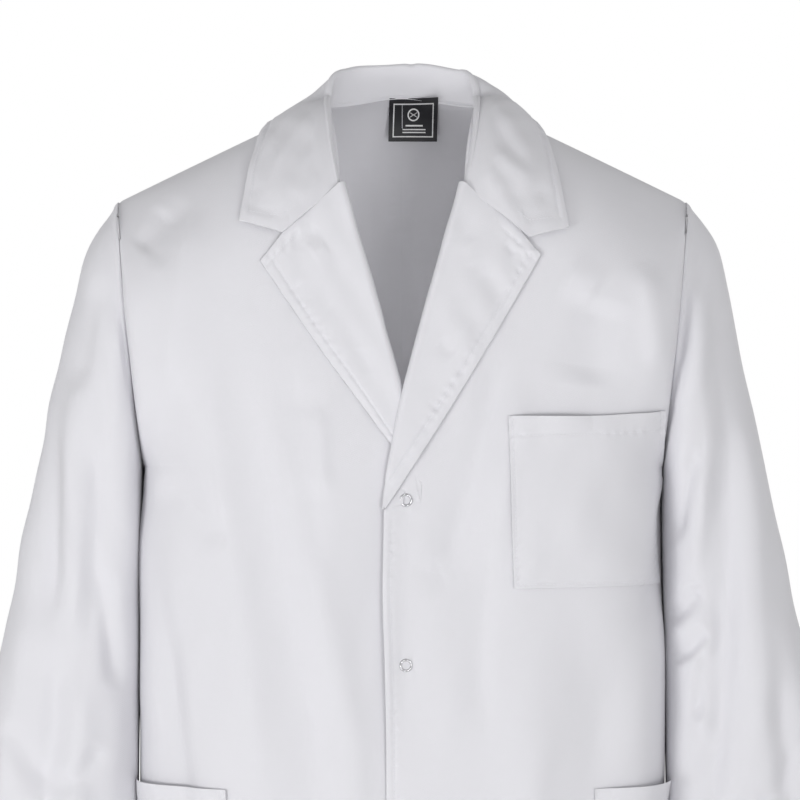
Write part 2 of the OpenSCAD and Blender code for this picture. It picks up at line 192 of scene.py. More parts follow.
# ---- folds: each has its height, the widths on its two sides and the x and z of its points
def along(points, x, z):
    """Signed distance from a polyline and the share of its length, for each point."""
    seg = np.diff(points, axis=0)
    length = np.linalg.norm(seg, axis=1)
    start = concatenate([[0], np.cumsum(length)])
    best = np.full(np.shape(x), 1e9)
    side = np.zeros(np.shape(x))
    share = np.zeros(np.shape(x))
    for p, s, l, s0 in zip(points, seg, length, start):
        raw = ((x - p[0]) * s[0] + (z - p[1]) * s[1]) / l ** 2
        t = clip(raw, 0, 1)
        dx, dz = x - p[0] - t * s[0], z - p[1] - t * s[1]
        d = np.hypot(dx, dz)
        near = d < best
        best = where(near, d, best)
        side = where(near, np.sign(s[0] * dz - s[1] * dx), side)
        share = where(near, (s0 + t * l) / start[-1], share)
    return best * side, share


def creases(x, z, folds, tail=0.25):
    """Height of ridges (above 0) and valleys at x and z; tail is the share that fades out."""
    total = 0.0
    for height, left, right, *spots in folds:
        d, share = along(np.reshape(spots, (-1, 2)), x, z)
        fade = ease(share / tail) * ease((1 - share) / tail)
        total = total + height * exp(-(d / where(d > 0, left, right)) ** 2) * fade
    return total


def waves(x, z, seed, count, wide, tall, height):
    """Soft unevenness: a fixed sum of waves, wide across and tall along the cloth."""
    rng = np.random.RandomState(seed)
    total = np.zeros(np.shape(x))
    for _ in range(count):
        kx = rng.uniform(0.6, 1.5) / wide * rng.choice([-1, 1])
        kz = rng.uniform(0.5, 1.5) / tall
        total = total + sin(2 * math.pi * (kx * x + kz * z) + rng.uniform(0, 6.28))
    return height * total / math.sqrt(count)


def pucker(d, s, at, size, seed=1):
    """Stitch line at distance at from an edge: a groove, a raised edge and small puckers.
    d is the distance from the edge and s the place along it."""
    rng = np.random.RandomState(seed)
    a, b, c = rng.uniform(0, 6.28, 3)
    beat = 0.55 + 0.45 * sin(s / 23.0 + c)
    ripple = sin(s / 1.55 + a + 1.7 * sin(s / 11.0 + b)) * beat
    groove = -0.55 * exp(-((d - at) / 1.3) ** 2)
    roll = 0.35 * exp(-((d - at * 0.45) / (at * 0.4)) ** 2)
    return 1.25 * size * (groove + roll + 0.42 * ripple * exp(-((d - at) / 3.6) ** 2))


FRONT_FOLDS = {1: [
    (-2.8, 12, 16, 86, -212, 72, -280, 58, -340, 40, -400, 20, -440),
    (2.0, 12, 14, 104, -240, 98, -300, 82, -360, 62, -420),
    (-2.0, 10, 18, 78, -330, 72, -400, 66, -470, 70, -560), (-0.9, 8, 11, 8, -404, 24, -414, 38, -407),
    (0.5, 9, 9, 6, -388, 26, -396, 44, -388), (-3.6, 20, 26, 176, -172, 166, -210, 160, -252),
    (2.0, 16, 14, 140, -150, 158, -158, 172, -170), (2.4, 14, 10, 206, -140, 214, -180, 220, -240),
    (2.8, 22, 26, 120, -440, 108, -540, 112, -680, 104, -900),
    (-2.4, 22, 26, 176, -440, 166, -560, 150, -700),
    (3.4, 14, 20, 216, -440, 206, -560, 200, -700, 204, -900),
    (-3.0, 12, 10, 236, -330, 226, -400, 212, -470), (-4.0, 24, 20, 58, -620, 52, -780, 60, -1040),
    (5.0, 26, 22, 150, -760, 144, -900, 150, -1045), (5.0, 22, 20, 214, -820, 222, -1045),
], -1: [
    (-3.4, 22, 15, 152, -165, 140, -240, 122, -330, 103, -430, 78, -560, 62, -760, 60, -940),
    (3.2, 24, 16, 176, -180, 170, -250, 160, -330, 136, -470, 118, -640),
    (2.4, 14, 18, 120, -270, 95, -330, 68, -450, 40, -560, 38, -700),
    (-2.0, 20, 12, 96, -220, 84, -330, 70, -420), (1.6, 20, 8, 74, -262, 70, -320, 66, -350),
    (-4.2, 20, 12, 222, -370, 205, -500, 188, -620, 178, -760, 172, -960),
    (2.6, 14, 10, 236, -330, 222, -460, 214, -570), (-2.2, 16, 12, 214, -330, 186, -350, 150, -390),
    (-2.2, 9, 12, 206, -92, 216, -112, 232, -132), (-1.4, 14, 10, 190, -84, 204, -112, 214, -150),
    (2.4, 12, 16, 178, -88, 186, -130, 196, -190, 202, -270),
    (4.5, 20, 24, 120, -640, 106, -800, 112, -1040), (5.0, 22, 20, 200, -700, 206, -860, 214, -1045),
]}
SNAP_LO, SNAP_HI = box_mm("snap_cap_rings")
SNAP_X = (SNAP_LO[0] + SNAP_HI[0]) / 2
SNAP_R = (SNAP_HI[0] - SNAP_LO[0]) / 2
SNAP_COUNT = 5
SNAP_Z = linspace(SNAP_HI[2] - SNAP_R, SNAP_LO[2] + SNAP_R, SNAP_COUNT)
UNDER = 5.0  # how far the right front lies under the left one
FRONT_FOLD_GAIN, SLEEVE_FOLD_GAIN = 1.8, 1.9


def low_share(z):
    return ease((-150 - z) / 120)


def calm(x, z):
    """Share of the folds that stays near the side line and the shoulder seam."""
    rim = np.hypot(half_width(z) - x, 80 * bulge(x / half_width(z)))
    return ease(rim / 18) * ease((shoulder_z(x) - z) / 22)


def armhole_dip(x, z):
    """The cloth dips a little next to the armhole seam."""
    return 0.9 * exp(-((half_width(z) - x) / 3.0) ** 2) * (z > ARM_Z - 10)


def hem_pucker(x, z):
    return pucker(z - HEM_Z, x * 1.1, HEM_STITCH, 0.6, 5) * (z < -900)


def front_relief(x, z, side):
    """Height of the front cloth over the base shape. x is measured towards its own side."""
    total = waves(x, z, 3 + side, 7, 120, 420, 0.9) + waves(x, z, 8 + side, 6, 46, 130, 0.28)
    total = total + FRONT_FOLD_GAIN * creases(x, z, FRONT_FOLDS[side])
    flute = ease((-620 - z) / 430)
    total = total + flute * (4.5 * sin(x / 27.0 + 0.8 * side + z / 420) + 2.0 * sin(x / 13.0))
    total = total * calm(x, z) * mix(1, ease((x + 14) / 62), low_share(z))
    for k, snap in enumerate(SNAP_Z):
        d = np.hypot(x - side * SNAP_X, z - snap)
        total = total - (0.25 if side > 0 else 0) * exp(-((d - 8) / 5) ** 2)
        total = total + 0.22 * sin(np.arctan2(z - snap, x - SNAP_X) * 5 + k) \
            * exp(-((d - 10) / 5) ** 2)
    if side > 0:
        # the upper front lifts a little along its free edge above the first snaps
        free = exp(-((x + EDGE_X) / 13) ** 2)
        total = total + free * (4.2 * ease((-335 - z) / 25) * ease((z + 640) / 160)
                                + 1.4 * sin(z / 43.0) * ease((-360 - z) / 60))
    return total - armhole_dip(x, z)


def tuck(p, side):
    """The wearer's right front lies under the left one near the centre."""
    if side > 0:
        return p
    x = p[..., 0]
    shift = UNDER * (1 - ease((x - 22) / 50)) * low_share(p[..., 2])
    return stack([-x, p[..., 1] + shift, p[..., 2]], -1)


def front_base(x, m, side):
    return tuck(body(x, m), side)


def front_normal(x, m, side):
    return normals(lambda a, b: front_base(a, b, side), x, m) * -side


def front_at(x, m, side, lift=0.0):
    p = front_base(x, m, side)
    z = p[..., 2]
    height = front_relief(x, z, side) + edge_relief(x, z) + lift
    return p + front_normal(x, m, side) * height[..., None]


def edge_x(z):
    """Free edge of a front, as distance from the centre towards its own side."""
    s = clip((z - LAPEL_FOOT) / (BREAK_Z - LAPEL_FOOT), 0, 1)
    wander = 2.0 * ease((-440 - z) / 130) - 1.2 * exp(-((z + 424) / 40) ** 2)
    return -EDGE_X - 0.5 + (BREAK_X + EDGE_X + 0.5) * s ** 1.25 + wander * (z < LAPEL_FOOT)


def edge_relief(x, z):
    low = ease((-350 - z) / 20)
    return low * pucker(x - edge_x(z), z, EDGE_STITCH, 0.85, 4) + hem_pucker(x, z)


# ---- materials
def shader(name, colour, rough, sheen=0.0, metal=0.0):
    mat = bpy.data.materials.new(name)
    mat.use_nodes = True
    p = mat.node_tree.nodes["Principled BSDF"]
    p.inputs["Base Color"].default_value = (*colour, 1)
    p.inputs["Roughness"].default_value = rough
    p.inputs["Metallic"].default_value = metal
    p.inputs["Sheen Weight"].default_value = sheen
    return mat, p


def node(mat, kind, **values):
    made = mat.node_tree.nodes.new(kind)
    for key, value in values.items():
        if key in made.inputs:
            made.inputs[key].default_value = value
        else:
            setattr(made, key, value)
    return made


def cloth_material(name, colour, weave=0.9):
    """Fine twill: slanting ribs and slub, with a faint unevenness of tone."""
    mat, p = shader(name, colour, 0.85, sheen=0.25)
    p.inputs["Specular IOR Level"].default_value = 0.25
    link = mat.node_tree.links.new
    coord = node(mat, "ShaderNodeTexCoord")
    turn = node(mat, "ShaderNodeMapping")
    turn.inputs["Rotation"].default_value = (0, math.radians(32), 0)
    link(coord.outputs["Object"], turn.inputs["Vector"])
    ribs = node(mat, "ShaderNodeTexWave", Scale=340.0, Distortion=1.2, Detail=2.0)
    ribs.inputs["Detail Scale"].default_value = 3.0
    link(turn.outputs["Vector"], ribs.inputs["Vector"])
    slub = node(mat, "ShaderNodeTexNoise", Scale=900.0, Detail=3.0)
    soft = node(mat, "ShaderNodeTexNoise", Scale=38.0, Detail=5.0, Roughness=0.6)
    for t in (slub, soft):
        link(coord.outputs["Object"], t.inputs["Vector"])
    fine = node(mat, "ShaderNodeMath", operation="MULTIPLY_ADD")
    link(slub.outputs["Fac"], fine.inputs[0])
    fine.inputs[1].default_value = 0.8
    link(ribs.outputs["Fac"], fine.inputs[2])
    low = node(mat, "ShaderNodeBump", Strength=0.10, Distance=0.004)
    link(soft.outputs["Fac"], low.inputs["Height"])
    bump = node(mat, "ShaderNodeBump", Strength=weave, Distance=0.00012)
    link(fine.outputs["Value"], bump.inputs["Height"])
    link(low.outputs["Normal"], bump.inputs["Normal"])
    link(bump.outputs["Normal"], p.inputs["Normal"])
    return mat


CLOTH_MAT = cloth_material("cloth_twill", (0.755, 0.75, 0.785))
THREAD_MAT, _ = shader("thread", (0.80, 0.80, 0.84), 0.6, sheen=0.2)
STEEL_MAT, _ = shader("snap_steel", (0.62, 0.62, 0.64), 0.22, metal=1.0)
LINING_MAT, _ = shader("interlining", (0.70, 0.70, 0.70), 0.9)
LABEL_MAT, _ = shader("label_black", (0.006, 0.006, 0.009), 0.55, sheen=0.1)
LABEL_THREAD, _ = shader("label_white", (0.82, 0.82, 0.82), 0.6)


# ---- meshes
def panel(name, pts, nrm, thick, closed=False, material=CLOTH_MAT):
    """A cloth sheet from a grid of points (rows, columns): two faces and a rounded rim."""
    rows, cols = pts.shape[:2]
    n = rows * cols
    outer, inner = pts.reshape(-1, 3), (pts - nrm * thick).reshape(-1, 3)
    co, no = [outer, inner], [nrm.reshape(-1, 3), -nrm.reshape(-1, 3)]
    idx = np.arange(n).reshape(rows, cols)
    right = np.roll(idx, -1, 1) if closed else idx[:, 1:]
    left = idx if closed else idx[:, :-1]
    front = stack([left[:-1], right[:-1], right[1:], left[1:]], -1).reshape(-1, 4)
    faces = [front, front[:, ::-1] + n]
    turn = np.cross(pts[:-1, 1:] - pts[:-1, :-1], pts[1:, :-1] - pts[:-1, :-1])
    backward = np.sum(turn * nrm[:-1, :-1]) < 0
    if closed:
        rims = [(idx[0], idx[1], 1), (idx[-1], idx[-2], -1)]
    else:
        ring = concatenate([idx[0, :-1], idx[:-1, -1], idx[-1, :0:-1], idx[:0:-1, 0]])
        inward = concatenate([idx[1, :-1], idx[:-1, -2], idx[-2, :0:-1], idx[:0:-1, 1]])
        rims = [(ring, inward, 1)]
    base = 2 * n
    for ring, inward, way in rims:
        out = unit(outer[ring] - outer[inward])
        out = unit(out + 0.5 * (np.roll(out, 1, 0) + np.roll(out, -1, 0)))
        mid = (outer[ring] + inner[ring]) / 2 + out * thick * 0.45
        co.append(mid)
        no.append(out)
        k = len(ring)
        m = base + np.arange(k)
        m2, r2 = np.roll(m, -1), np.roll(ring, -1)
        up = stack([ring, m, m2, r2], -1)
        down = stack([m, ring + n, r2 + n, m2], -1)
        faces += [up[:, ::way], down[:, ::way]]
        base += k
    faces = concatenate(faces)
    if backward:
        faces = faces[:, ::-1]
    return mesh_object(name, concatenate(co), faces, concatenate(no), material)


def mesh_object(name, co, faces, no, material, smooth=True):
    """A mesh from places in millimetres, faces of one size and normals, if any."""
    me = bpy.data.meshes.new(name)
    size = faces.shape[1]
    me.vertices.add(len(co))
    me.vertices.foreach_set("co", (np.asarray(co, float) * MM).astype(np.float32).ravel())
    me.loops.add(faces.size)
    me.loops.foreach_set("vertex_index", faces.ravel().astype(np.int32))
    me.polygons.add(len(faces))
    me.polygons.foreach_set("loop_start", np.arange(0, faces.size, size, dtype=np.int32))
    me.update(calc_edges=True)
    me.validate()
    me.polygons.foreach_set("use_smooth", np.full(len(me.polygons), smooth))
    if no is not None:
        me.normals_split_custom_set_from_vertices(np.asarray(no, float).tolist())
    ob = bpy.data.objects.new(name, me)
    bpy.context.collection.objects.link(ob)
    me.materials.append(material)
    return ob


def grid_normals(pts, guide):
    """Normals of a grid of points from their neighbours, turned to agree with guide."""
    n = unit(np.cross(np.gradient(pts, axis=1), np.gradient(pts, axis=0)))
    return n * np.sign(np.sum(n * guide))


def word(side):
    return "left" if side > 0 else "right"


def name_piece(ob, node_name):
    """Hides the CAD node that a piece stands for."""
    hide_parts(node_name)


def ride_coat(ob):
    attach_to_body(ob, "coat")


# ---- fronts
M_BREAK = float(front_m(BREAK_X, BREAK_Z))
Z_AT_HINGE = float(shoulder_z(HINGE_X) - run_drop(M_BREAK, FRONT_ROUND))
LOW_RUN = 235.0  # run from the break to the swinging part
NECK_ROWS, LAPEL_ROWS = 34, 84
LOWER_ROWS = slice(NECK_ROWS + LAPEL_ROWS, None)


def front_rows():
    """Row stations: 0 to 1 beside the neckline, to 2 beside the lapel, to 3 down to the hem."""
    return concatenate([linspace(0, 1, NECK_ROWS, endpoint=False),
                           1 + linspace(0, 1, LAPEL_ROWS, endpoint=False),
                           2 + linspace(0, 1, 200)])


def row_ends(r):
    """Run beside the neck, height at the edge and at the hinge line, and run at the hinge line."""
    t1, t2 = clip(r - 1, 0, 1), clip(r - 2, 0, 1)
    m0 = mix(0.15, M_BREAK, clip(r, 0, 1))
    z_in = where(r < 2, mix(BREAK_Z, FLAP_Z, t1), mix(FLAP_Z, HEM_Z, t2))
    z_out = where(r < 2, mix(Z_AT_HINGE, FLAP_Z, t1), mix(FLAP_Z, HEM_Z, t2))
    m_hinge = where(r < 1, m0, front_m(HINGE_X, z_out))
    return m0, z_in, z_out, m_hinge


def centre_grid():
    r, c = grid(front_rows(), linspace(0, 1, 46) ** 1.15)
    m0, z_in, z_out, _ = row_ends(r)
    neck = mix(BREAK_X, NECK_HALF, ease(1 - m0 / M_BREAK))
    x_in = where(r < 1, neck, edge_x(z_in))
    x = mix(x_in, HINGE_X, c)
    return x, where(r < 1, m0, front_m(x, mix(z_in, z_out, c)))


def rim_z(q):
    """Height on the side line: round the armhole, then down to the swinging part."""
    return where(q < ARM_SHARE, ARM_MID + ARM_TALL * cos(math.pi * np.minimum(q / ARM_SHARE, 1)),
                    mix(ARM_Z, FLAP_Z, (q - ARM_SHARE) / (1 - ARM_SHARE)))


def side_grid():
    r, c = grid(front_rows(), linspace(0, 1, 64))
    _, z_in, z_out, m_in = row_ends(r)
    z_out = where(r < 1, mix(float(shoulder_z(HINGE_X)), Z_AT_HINGE, r), z_out)
    run = where(r < 1, r * M_BREAK, M_BREAK + (r - 1) * LOW_RUN)
    z_rim = where(r < 2, rim_z(run / (M_BREAK + LOW_RUN)), z_in)
    reach = half_width(z_rim)
    across = bulge_x(mix(bulge_angle(HINGE_X, reach), math.pi / 2, c), reach)
    share = (across - HINGE_X) / (reach - HINGE_X)
    x = mix(HINGE_X, reach, share)
    m_rim = np.maximum(front_m(reach, z_rim), 0.15)
    lined = front_m(x, mix(z_out, z_rim, share))
    bent = mix(mix(m_in, m_rim, share), lined, ease((r - 0.6) / 0.9))
    return x, where(r >= 2, front_m(x, z_in), bent)


def strip_grid():
    """The cloth of the side goes on a little under the part that swings."""
    z, x = grid(linspace(-205, HEM_Z + 2, 220), linspace(77, 90, 7))
    return x, front_m(x, z)


CENTRE, SIDE, STRIP = centre_grid(), side_grid(), strip_grid()


def sheet_on(fn, name, spots, way, thick, rows=slice(None), cols=slice(None), material=CLOTH_MAT):
    """A panel over some rows and columns of spots on the surface fn."""
    x, m = spots[0][rows, cols], spots[1][rows, cols]
    return panel(name, fn(x, m), normals(fn, x, m) * way, thick, material=material)


def front_sheet(name, spots, side, lift=0.0, thick=CLOTH, **part):
    return sheet_on(lambda a, b: front_at(a, b, side, lift), name, spots, -side, thick, **part)


def swing(ob, side):
    word(side) + "_front"
    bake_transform(ob)


def make_front(side):
    w = word(side)
    outer = front_sheet(w + "_front_side_cloth", SIDE, side)
    mid = front_sheet(w + "_front_edge_cloth", CENTRE, side)
    facing = front_sheet(w + "_front_facing_cloth", CENTRE, side, *FACING_LAYER,
                         rows=LOWER_ROWS, cols=slice(0, 36))
    core = front_sheet(w + "_interlining_sheet", CENTRE, side, *CORE_LAYER,
                       rows=LOWER_ROWS, cols=slice(1, 33), material=LINING_MAT)
    hem = front_sheet(w + "_front_hem_turn", SIDE, side, *HEM_LAYER, rows=slice(-9, None))
    strip = front_sheet(w + "_front_fold_strip", STRIP, side, *STRIP_LAYER)
    for ob in (mid, facing, core):
        swing(ob, side)
    for ob in (outer, hem, strip):
        ride_coat(ob)
    name_piece(outer, w + "_front_side")
    name_piece(mid, w + "_front_edge")
    name_piece(facing, w + "_front_facing")
    name_piece(core, w + "_edge_interlining")
    name_piece(hem, w + "_front_hem")


# ---- lapels
LAPEL_TIP = {1: (119.0, -137.0), -1: (122.0, -142.0)}
LAPEL_END = {1: (-15.5, -356.0), -1: (-16.5, -334.0)}
LAPEL_FOLDS = {1: [
    (1.4, 3, 3, 96, -128, 106, -133, 114, -138), (-1.3, 3, 4, 88, -126, 98, -138),
    (-1.8, 8, 10, 70, -150, 84, -172, 90, -178), (1.4, 9, 9, 56, -120, 66, -150),
    (1.2, 9, 7, 60, -190, 50, -214, 34, -240), (-1.0, 6, 6, 30, -210, 44, -226),
    (-0.8, 5, 5, 24, -262, 30, -272),
], -1: [
    (-1.9, 6, 8, 70, -112, 88, -124, 98, -132), (1.5, 7, 8, 64, -128, 80, -138),
    (-1.0, 6, 8, 94, -160, 80, -182), (1.2, 9, 9, 60, -180, 52, -210, 40, -232),
    (-1.0, 7, 7, 36, -216, 26, -240),
]}


def lapel_plan(w, v, side):
    """Plan place of a lapel spot: w from the roll to the outer edge, v from the collar down."""
    z0 = mix(BREAK_Z - 1.0, LAPEL_FOOT + 2, v)
    tip, end = LAPEL_TIP[side], LAPEL_END[side]
    bow = 3.0 * sin(math.pi * v) * w
    bend = 7.5 * np.minimum(ease(w / 0.06 + 0.85), (1 - w) / 0.28) * (1 - v) ** 8
    x = mix(edge_x(z0), mix(tip[0], end[0], v), w) + bow
    return x, mix(z0, mix(tip[1], end[1], v), w) + bend


def lapel_wide(v, side):
    return np.hypot(mix(LAPEL_TIP[side][0] - BREAK_X, 1, v), mix(54, 0, v))


def lapel_tall(w):
    return mix(205, 240, w)


def lapel_height(x, z, w, v, side):
    """Height of a lapel spot over the front."""
    wide = lapel_wide(v, side)
    run = w * wide
    soft = 5.2 * (1 - ease((v - 0.55) / 0.45)) + 0.4
    h = 2.9 + soft * exp(-run / 17) + 1.9 * sin(math.pi * w) * (1 - v)
    foot = 1 - ease((v - 0.93) / 0.07)
    edge = pucker((1 - w) * wide, v * 255, TURN_STITCH, 1.15, 11 + side) * foot
    top = pucker(v * lapel_tall(w), run, GORGE_STITCH, 1.0, 15 + side) * ease((x - 82) / 10)
    h = h + edge + top + 0.5 * waves(x, z, 21 + side, 6, 36, 60, 1.0)
    return h + creases(x, z, LAPEL_FOLDS[side], 0.3)


def lapel_at(w, v, side, extra=0.0):
    """w below 0 is the fold round the roll and then a strip inside the coat."""
    flat = clip(w, 0, 1)
    x, z = lapel_plan(flat, v, side)
    m = front_m(x, z)
    h = lapel_height(x, z, flat, v, side) + extra
    base = front_base(x, m, side)
    n = front_normal(x, m, side)
    r = front_relief(x, z, side)
    over = base + n * (r + h)[..., None]
    h0 = lapel_height(*lapel_plan(0 * v, v, side), 0 * v, v, side)
    low = -2.2
    rad = (h0 - low) / 2
    tang = unit(front_base(x + 1, m, side) - front_base(x - 1, m, side))
    t = clip(-w / 0.5, 0, 1) * math.pi
    under = clip((-w - 0.5) / 0.5, 0, 1) * 16
    fold = base + n * (r + low + rad + (rad + extra) * cos(t))[..., None]
    fold = fold + tang * (under - (rad + extra) * sin(t))[..., None]
    return where((w < 0)[..., None], fold, over)


def make_lapel(side):
    w = concatenate([linspace(-1, -0.52, 5), linspace(-0.5, -0.03, 11),
                        linspace(0, 1, 62)])
    v, w = grid(linspace(0, 1, 190), w)
    pts = lapel_at(w, v, side)
    nrm = grid_normals(pts, FORWARD * (w > 0.05)[..., None])
    ob = panel(word(side) + "_lapel_cloth", pts, nrm, 1.5)
    swing(ob, side)
    name_piece(ob, word(side) + "_lapel")
    word(side) + "_front_side_cloth"


# ---- collar
COLLAR_TIP = {1: (143.0, -114.0), -1: (140.0, -108.0)}
NOTCH = {1: (109.0, -123.0), -1: (103.0, -119.0)}
NOTCH_AT = 0.62
STAND_OFF = 3.2                # of the collar from the neck seam
ROLL_R = 3.4
LEAF_PUFF = {1: 8.0, -1: 1.5}  # the left leaf stands off more
ROLL_TOP = 34.5
STAND_END, ROLL_END = 0.3, 0.45
NECK_HEART = -60.0 * UP        # the leaf's outer face looks away from this place
LEAF_FROM = 85.0               # degrees round the neck where the leaf's edge turns to the front


def neck_seam(a):
    """Place (x, m) of the collar's seam, a degrees from the centre back."""
    k = clip((a - 90) / (COLLAR_END - 90), 0, 1)
    rad = np.radians(clip(a, 0, 90))
    end = float(front_m(BREAK_X, BREAK_Z + 2))
    x = where(a < 90, NECK_HALF * sin(rad), NECK_HALF - (NECK_HALF - BREAK_X) * k * k)
    m = where(a < 90, -NECK_BACK * cos(rad), end * k ** 0.75)
    return x, m


def roll_z(a):
    k = clip((a - 50) / (COLLAR_END - 50), 0, 1)
    flat = ROLL_TOP - 6 * (a / 50) ** 2
    return where(a < 50, flat, ROLL_TOP - 6 - (ROLL_TOP - 6 - BREAK_Z - 3) * k ** 2.0)


def leaf_share(a):
    return clip((a - LEAF_FROM) / (COLLAR_END - LEAF_FROM), 0, 1)


def leaf_edge(a, side):
    k = leaf_share(a)
    rad = np.radians(clip(a, 0, LEAF_FROM) * 90 / LEAF_FROM)
    tx, tz = COLLAR_TIP[side]
    x = where(a < LEAF_FROM, 117 * sin(rad), mix(117, tx, k))
    m = where(a < LEAF_FROM, -92 * cos(rad), float(front_m(tx, tz)) * k)
    return x, m


def leaf_down(w):
    return clip((w - ROLL_END) / (1 - ROLL_END), 0, 1)


def collar_half(a, w, side, extra):
    """Half a collar: w up to STAND_END is the stand, to ROLL_END the roll and to 1 the leaf."""
    sx, sm = neck_seam(a)
    foot = body(sx, sm)
    radius = ROLL_R + extra
    rise = np.maximum(roll_z(a) - foot[..., 2], 1) - radius
    out = foot.copy()
    out[..., 0] += 0.01
    out[..., 1] -= 4
    out[..., 2] = 0
    out = unit(out)
    stand = STAND_OFF + 2.2
    s = clip(w / STAND_END, 0, 1)
    h1 = mix(stand - 9, rise + stand, s)
    p1 = foot + UP * h1[..., None] - out * (ROLL_R * s + extra)[..., None]
    t = clip((w - STAND_END) / (ROLL_END - STAND_END), 0, 1) * math.pi
    p2 = foot + UP * (rise + stand + radius * sin(t))[..., None]
    p2 = p2 - out * (radius * cos(t))[..., None]
    k = leaf_down(w)
    ex, em = leaf_edge(a, side)
    near = leaf_share(a) ** 5
    tent = where(k < NOTCH_AT, k / NOTCH_AT, (1 - k) / (1 - NOTCH_AT))
    nx, nz = NOTCH[side]
    end_x, end_m = COLLAR_TIP[side][0], float(front_m(*COLLAR_TIP[side]))
    line_x = mix(BREAK_X, end_x, NOTCH_AT)
    line_m = mix(float(front_m(BREAK_X, BREAK_Z + 2)), end_m, NOTCH_AT)
    qx = mix(sx, ex, k) + near * tent * (nx - line_x)
    qm = mix(sm, em, k) + near * tent * (float(front_m(nx, nz)) - line_m)
    q = body(qx, qm)
    n = -normals(body, qx, qm)
    fall = (1 - k) ** 1.6
    puff = LEAF_PUFF[side] * exp(-((a - 78) / 32) ** 2) * sin(math.pi * k ** 0.6)
    lift = (3.0 * (1 - fall) + (STAND_OFF - 1) * ease(k * 2) + 3.0 * sin(math.pi * k)
            * ease((a - 60) / 40) + puff + extra)
    p3 = q + (out * radius + UP * (rise + stand)[..., None]) * fall[..., None]
    p3 = p3 + n * lift[..., None]
    p = where((w < STAND_END)[..., None], p1, where((w < ROLL_END)[..., None], p2, p3))
    return p, qx, qm, n


COLLAR_FOLDS = {1: [
    (-2.0, 6, 10, 74, -12, 86, -34, 104, -60), (2.0, 8, 8, 70, -40, 96, -62, 118, -72),
    (-1.6, 6, 8, 84, -86, 108, -84, 132, -80), (1.2, 8, 10, 66, -62, 90, -84),
    (1.2, 6, 8, 120, -40, 130, -66, 137, -96),
], -1: [
    (-1.8, 9, 12, 70, -20, 84, -44, 92, -80), (1.6, 9, 9, 108, -36, 104, -70, 110, -100),
    (-1.0, 6, 6, 124, -70, 128, -100), (1.2, 8, 8, 70, -60, 88, -92),
]}


def collar_at(u, w, extra=0.0):
    a = (u - 0.5) * 2 * COLLAR_END
    result = np.zeros(np.shape(u) + (3,))
    for side in (1, -1):
        p, qx, qm, n = collar_half(np.abs(a), w, side, extra)
        leaf = ease((w - 0.5) / 0.08)
        z = p[..., 2]
        ex, em = leaf_edge(np.abs(a), side)
        d1 = np.hypot(qx - ex, qm - em)
        run = np.abs(a) * 2.4
        d2 = (COLLAR_END - np.abs(a)) / (COLLAR_END - LEAF_FROM) * mix(95, 128, leaf_down(w))
        d = np.minimum(d1, where(w > 0.75, d2, 99.0))
        h = pucker(d, run + 40 * w, TURN_STITCH, 1.1, 31 + side)
        h = h + 0.5 * waves(qx, qm, 33 + side, 6, 40, 60, 1)
        h = h + creases(qx, z, COLLAR_FOLDS[side], 0.3)
        p = p + n * (h * leaf)[..., None]
        # a small tuck in the roll, which is slightly uneven
        dent = 1.6 * exp(-((qx * side - 8) / 3.5) ** 2) * exp(-((w - 0.33) / 0.06) ** 2)
        ripple = 0.7 * sin(a / 9.0) * exp(-((w - 0.38) / 0.12) ** 2)
        p[..., 2] += (ripple - dent) * (np.abs(a) < 60)
        p[..., 0] *= side
        result = where((a * side > 0)[..., None], p, result)
    return result


def make_collar():
    w = concatenate([linspace(0, STAND_END, 16, endpoint=False),
                        linspace(STAND_END, ROLL_END, 10, endpoint=False),
                        linspace(ROLL_END, 1, 58)])
    u = linspace(0.0, 1.0, 330)
    u = 0.5 + (u - 0.5) * (1 - 0.12 * (1 - np.abs(2 * u - 1) ** 2))
    w, u = grid(w, u)
    pts = collar_at(u, w)
    guide = where((w > 0.6)[..., None], pts - NECK_HEART, 0)
    nrm = grid_normals(pts, guide)
    top = panel("upper_collar_cloth", pts, nrm, 1.1)
    low = panel("under_collar_cloth", pts - nrm * 1.5, nrm, 0.9)
    core = panel("collar_interlining_sheet", pts - nrm * 1.15, nrm, 0.3, material=LINING_MAT)
    for ob in (top, low, core):
        ride_coat(ob)
    name_piece(top, "upper_collar")
    name_piece(low, "under_collar")
    name_piece(core, "collar_interlining")


# ---- backs
VENT_Z = -700.0
BACK_FOLDS = [
    (3.0, 22, 26, 150, -60, 120, -140, 70, -230, 40, -330),
    (-3.4, 20, 24, 200, -120, 180, -260, 150, -420, 120, -600),
    (-2.4, 20, 24, 90, -90, 80, -260, 60, -480, 66, -700),
    (4.0, 22, 26, 205, -300, 190, -460, 176, -640, 180, -900),
    (4.6, 26, 24, 110, -420, 104, -640, 120, -1045), (-3.6, 12, 16, 226, -330, 214, -420, 196, -520),
]


def back_relief(x, z, side):
    total = waves(x, z, 43 + side, 7, 110, 380, 1.2) + waves(x, z, 47 + side, 6, 44, 120, 0.35)
    for k, fold in enumerate(BACK_FOLDS):
        total = total + creases(x - 9 * math.sin(2.1 * k + side), z, [fold])
    flute = ease((-560 - z) / 480)
    total = total + flute * (6.5 * sin(x / 24.0 + 1.3 * side) + 2.2 * sin(x / 11.0 + z / 300))
    total = total * calm(x, z) * ease((x + 2) / 30)
    return total + pucker(x, z, 6.0, 0.5, 6) + hem_pucker(x, z) - armhole_dip(x, z)


def back_at(x, m, side, lift=0.0):
    p = body(x, m)
    n = -normals(body, x, m)
    p = p + n * (back_relief(x, p[..., 2], side) + lift)[..., None]
    p[..., 0] = p[..., 0] * side
    return p


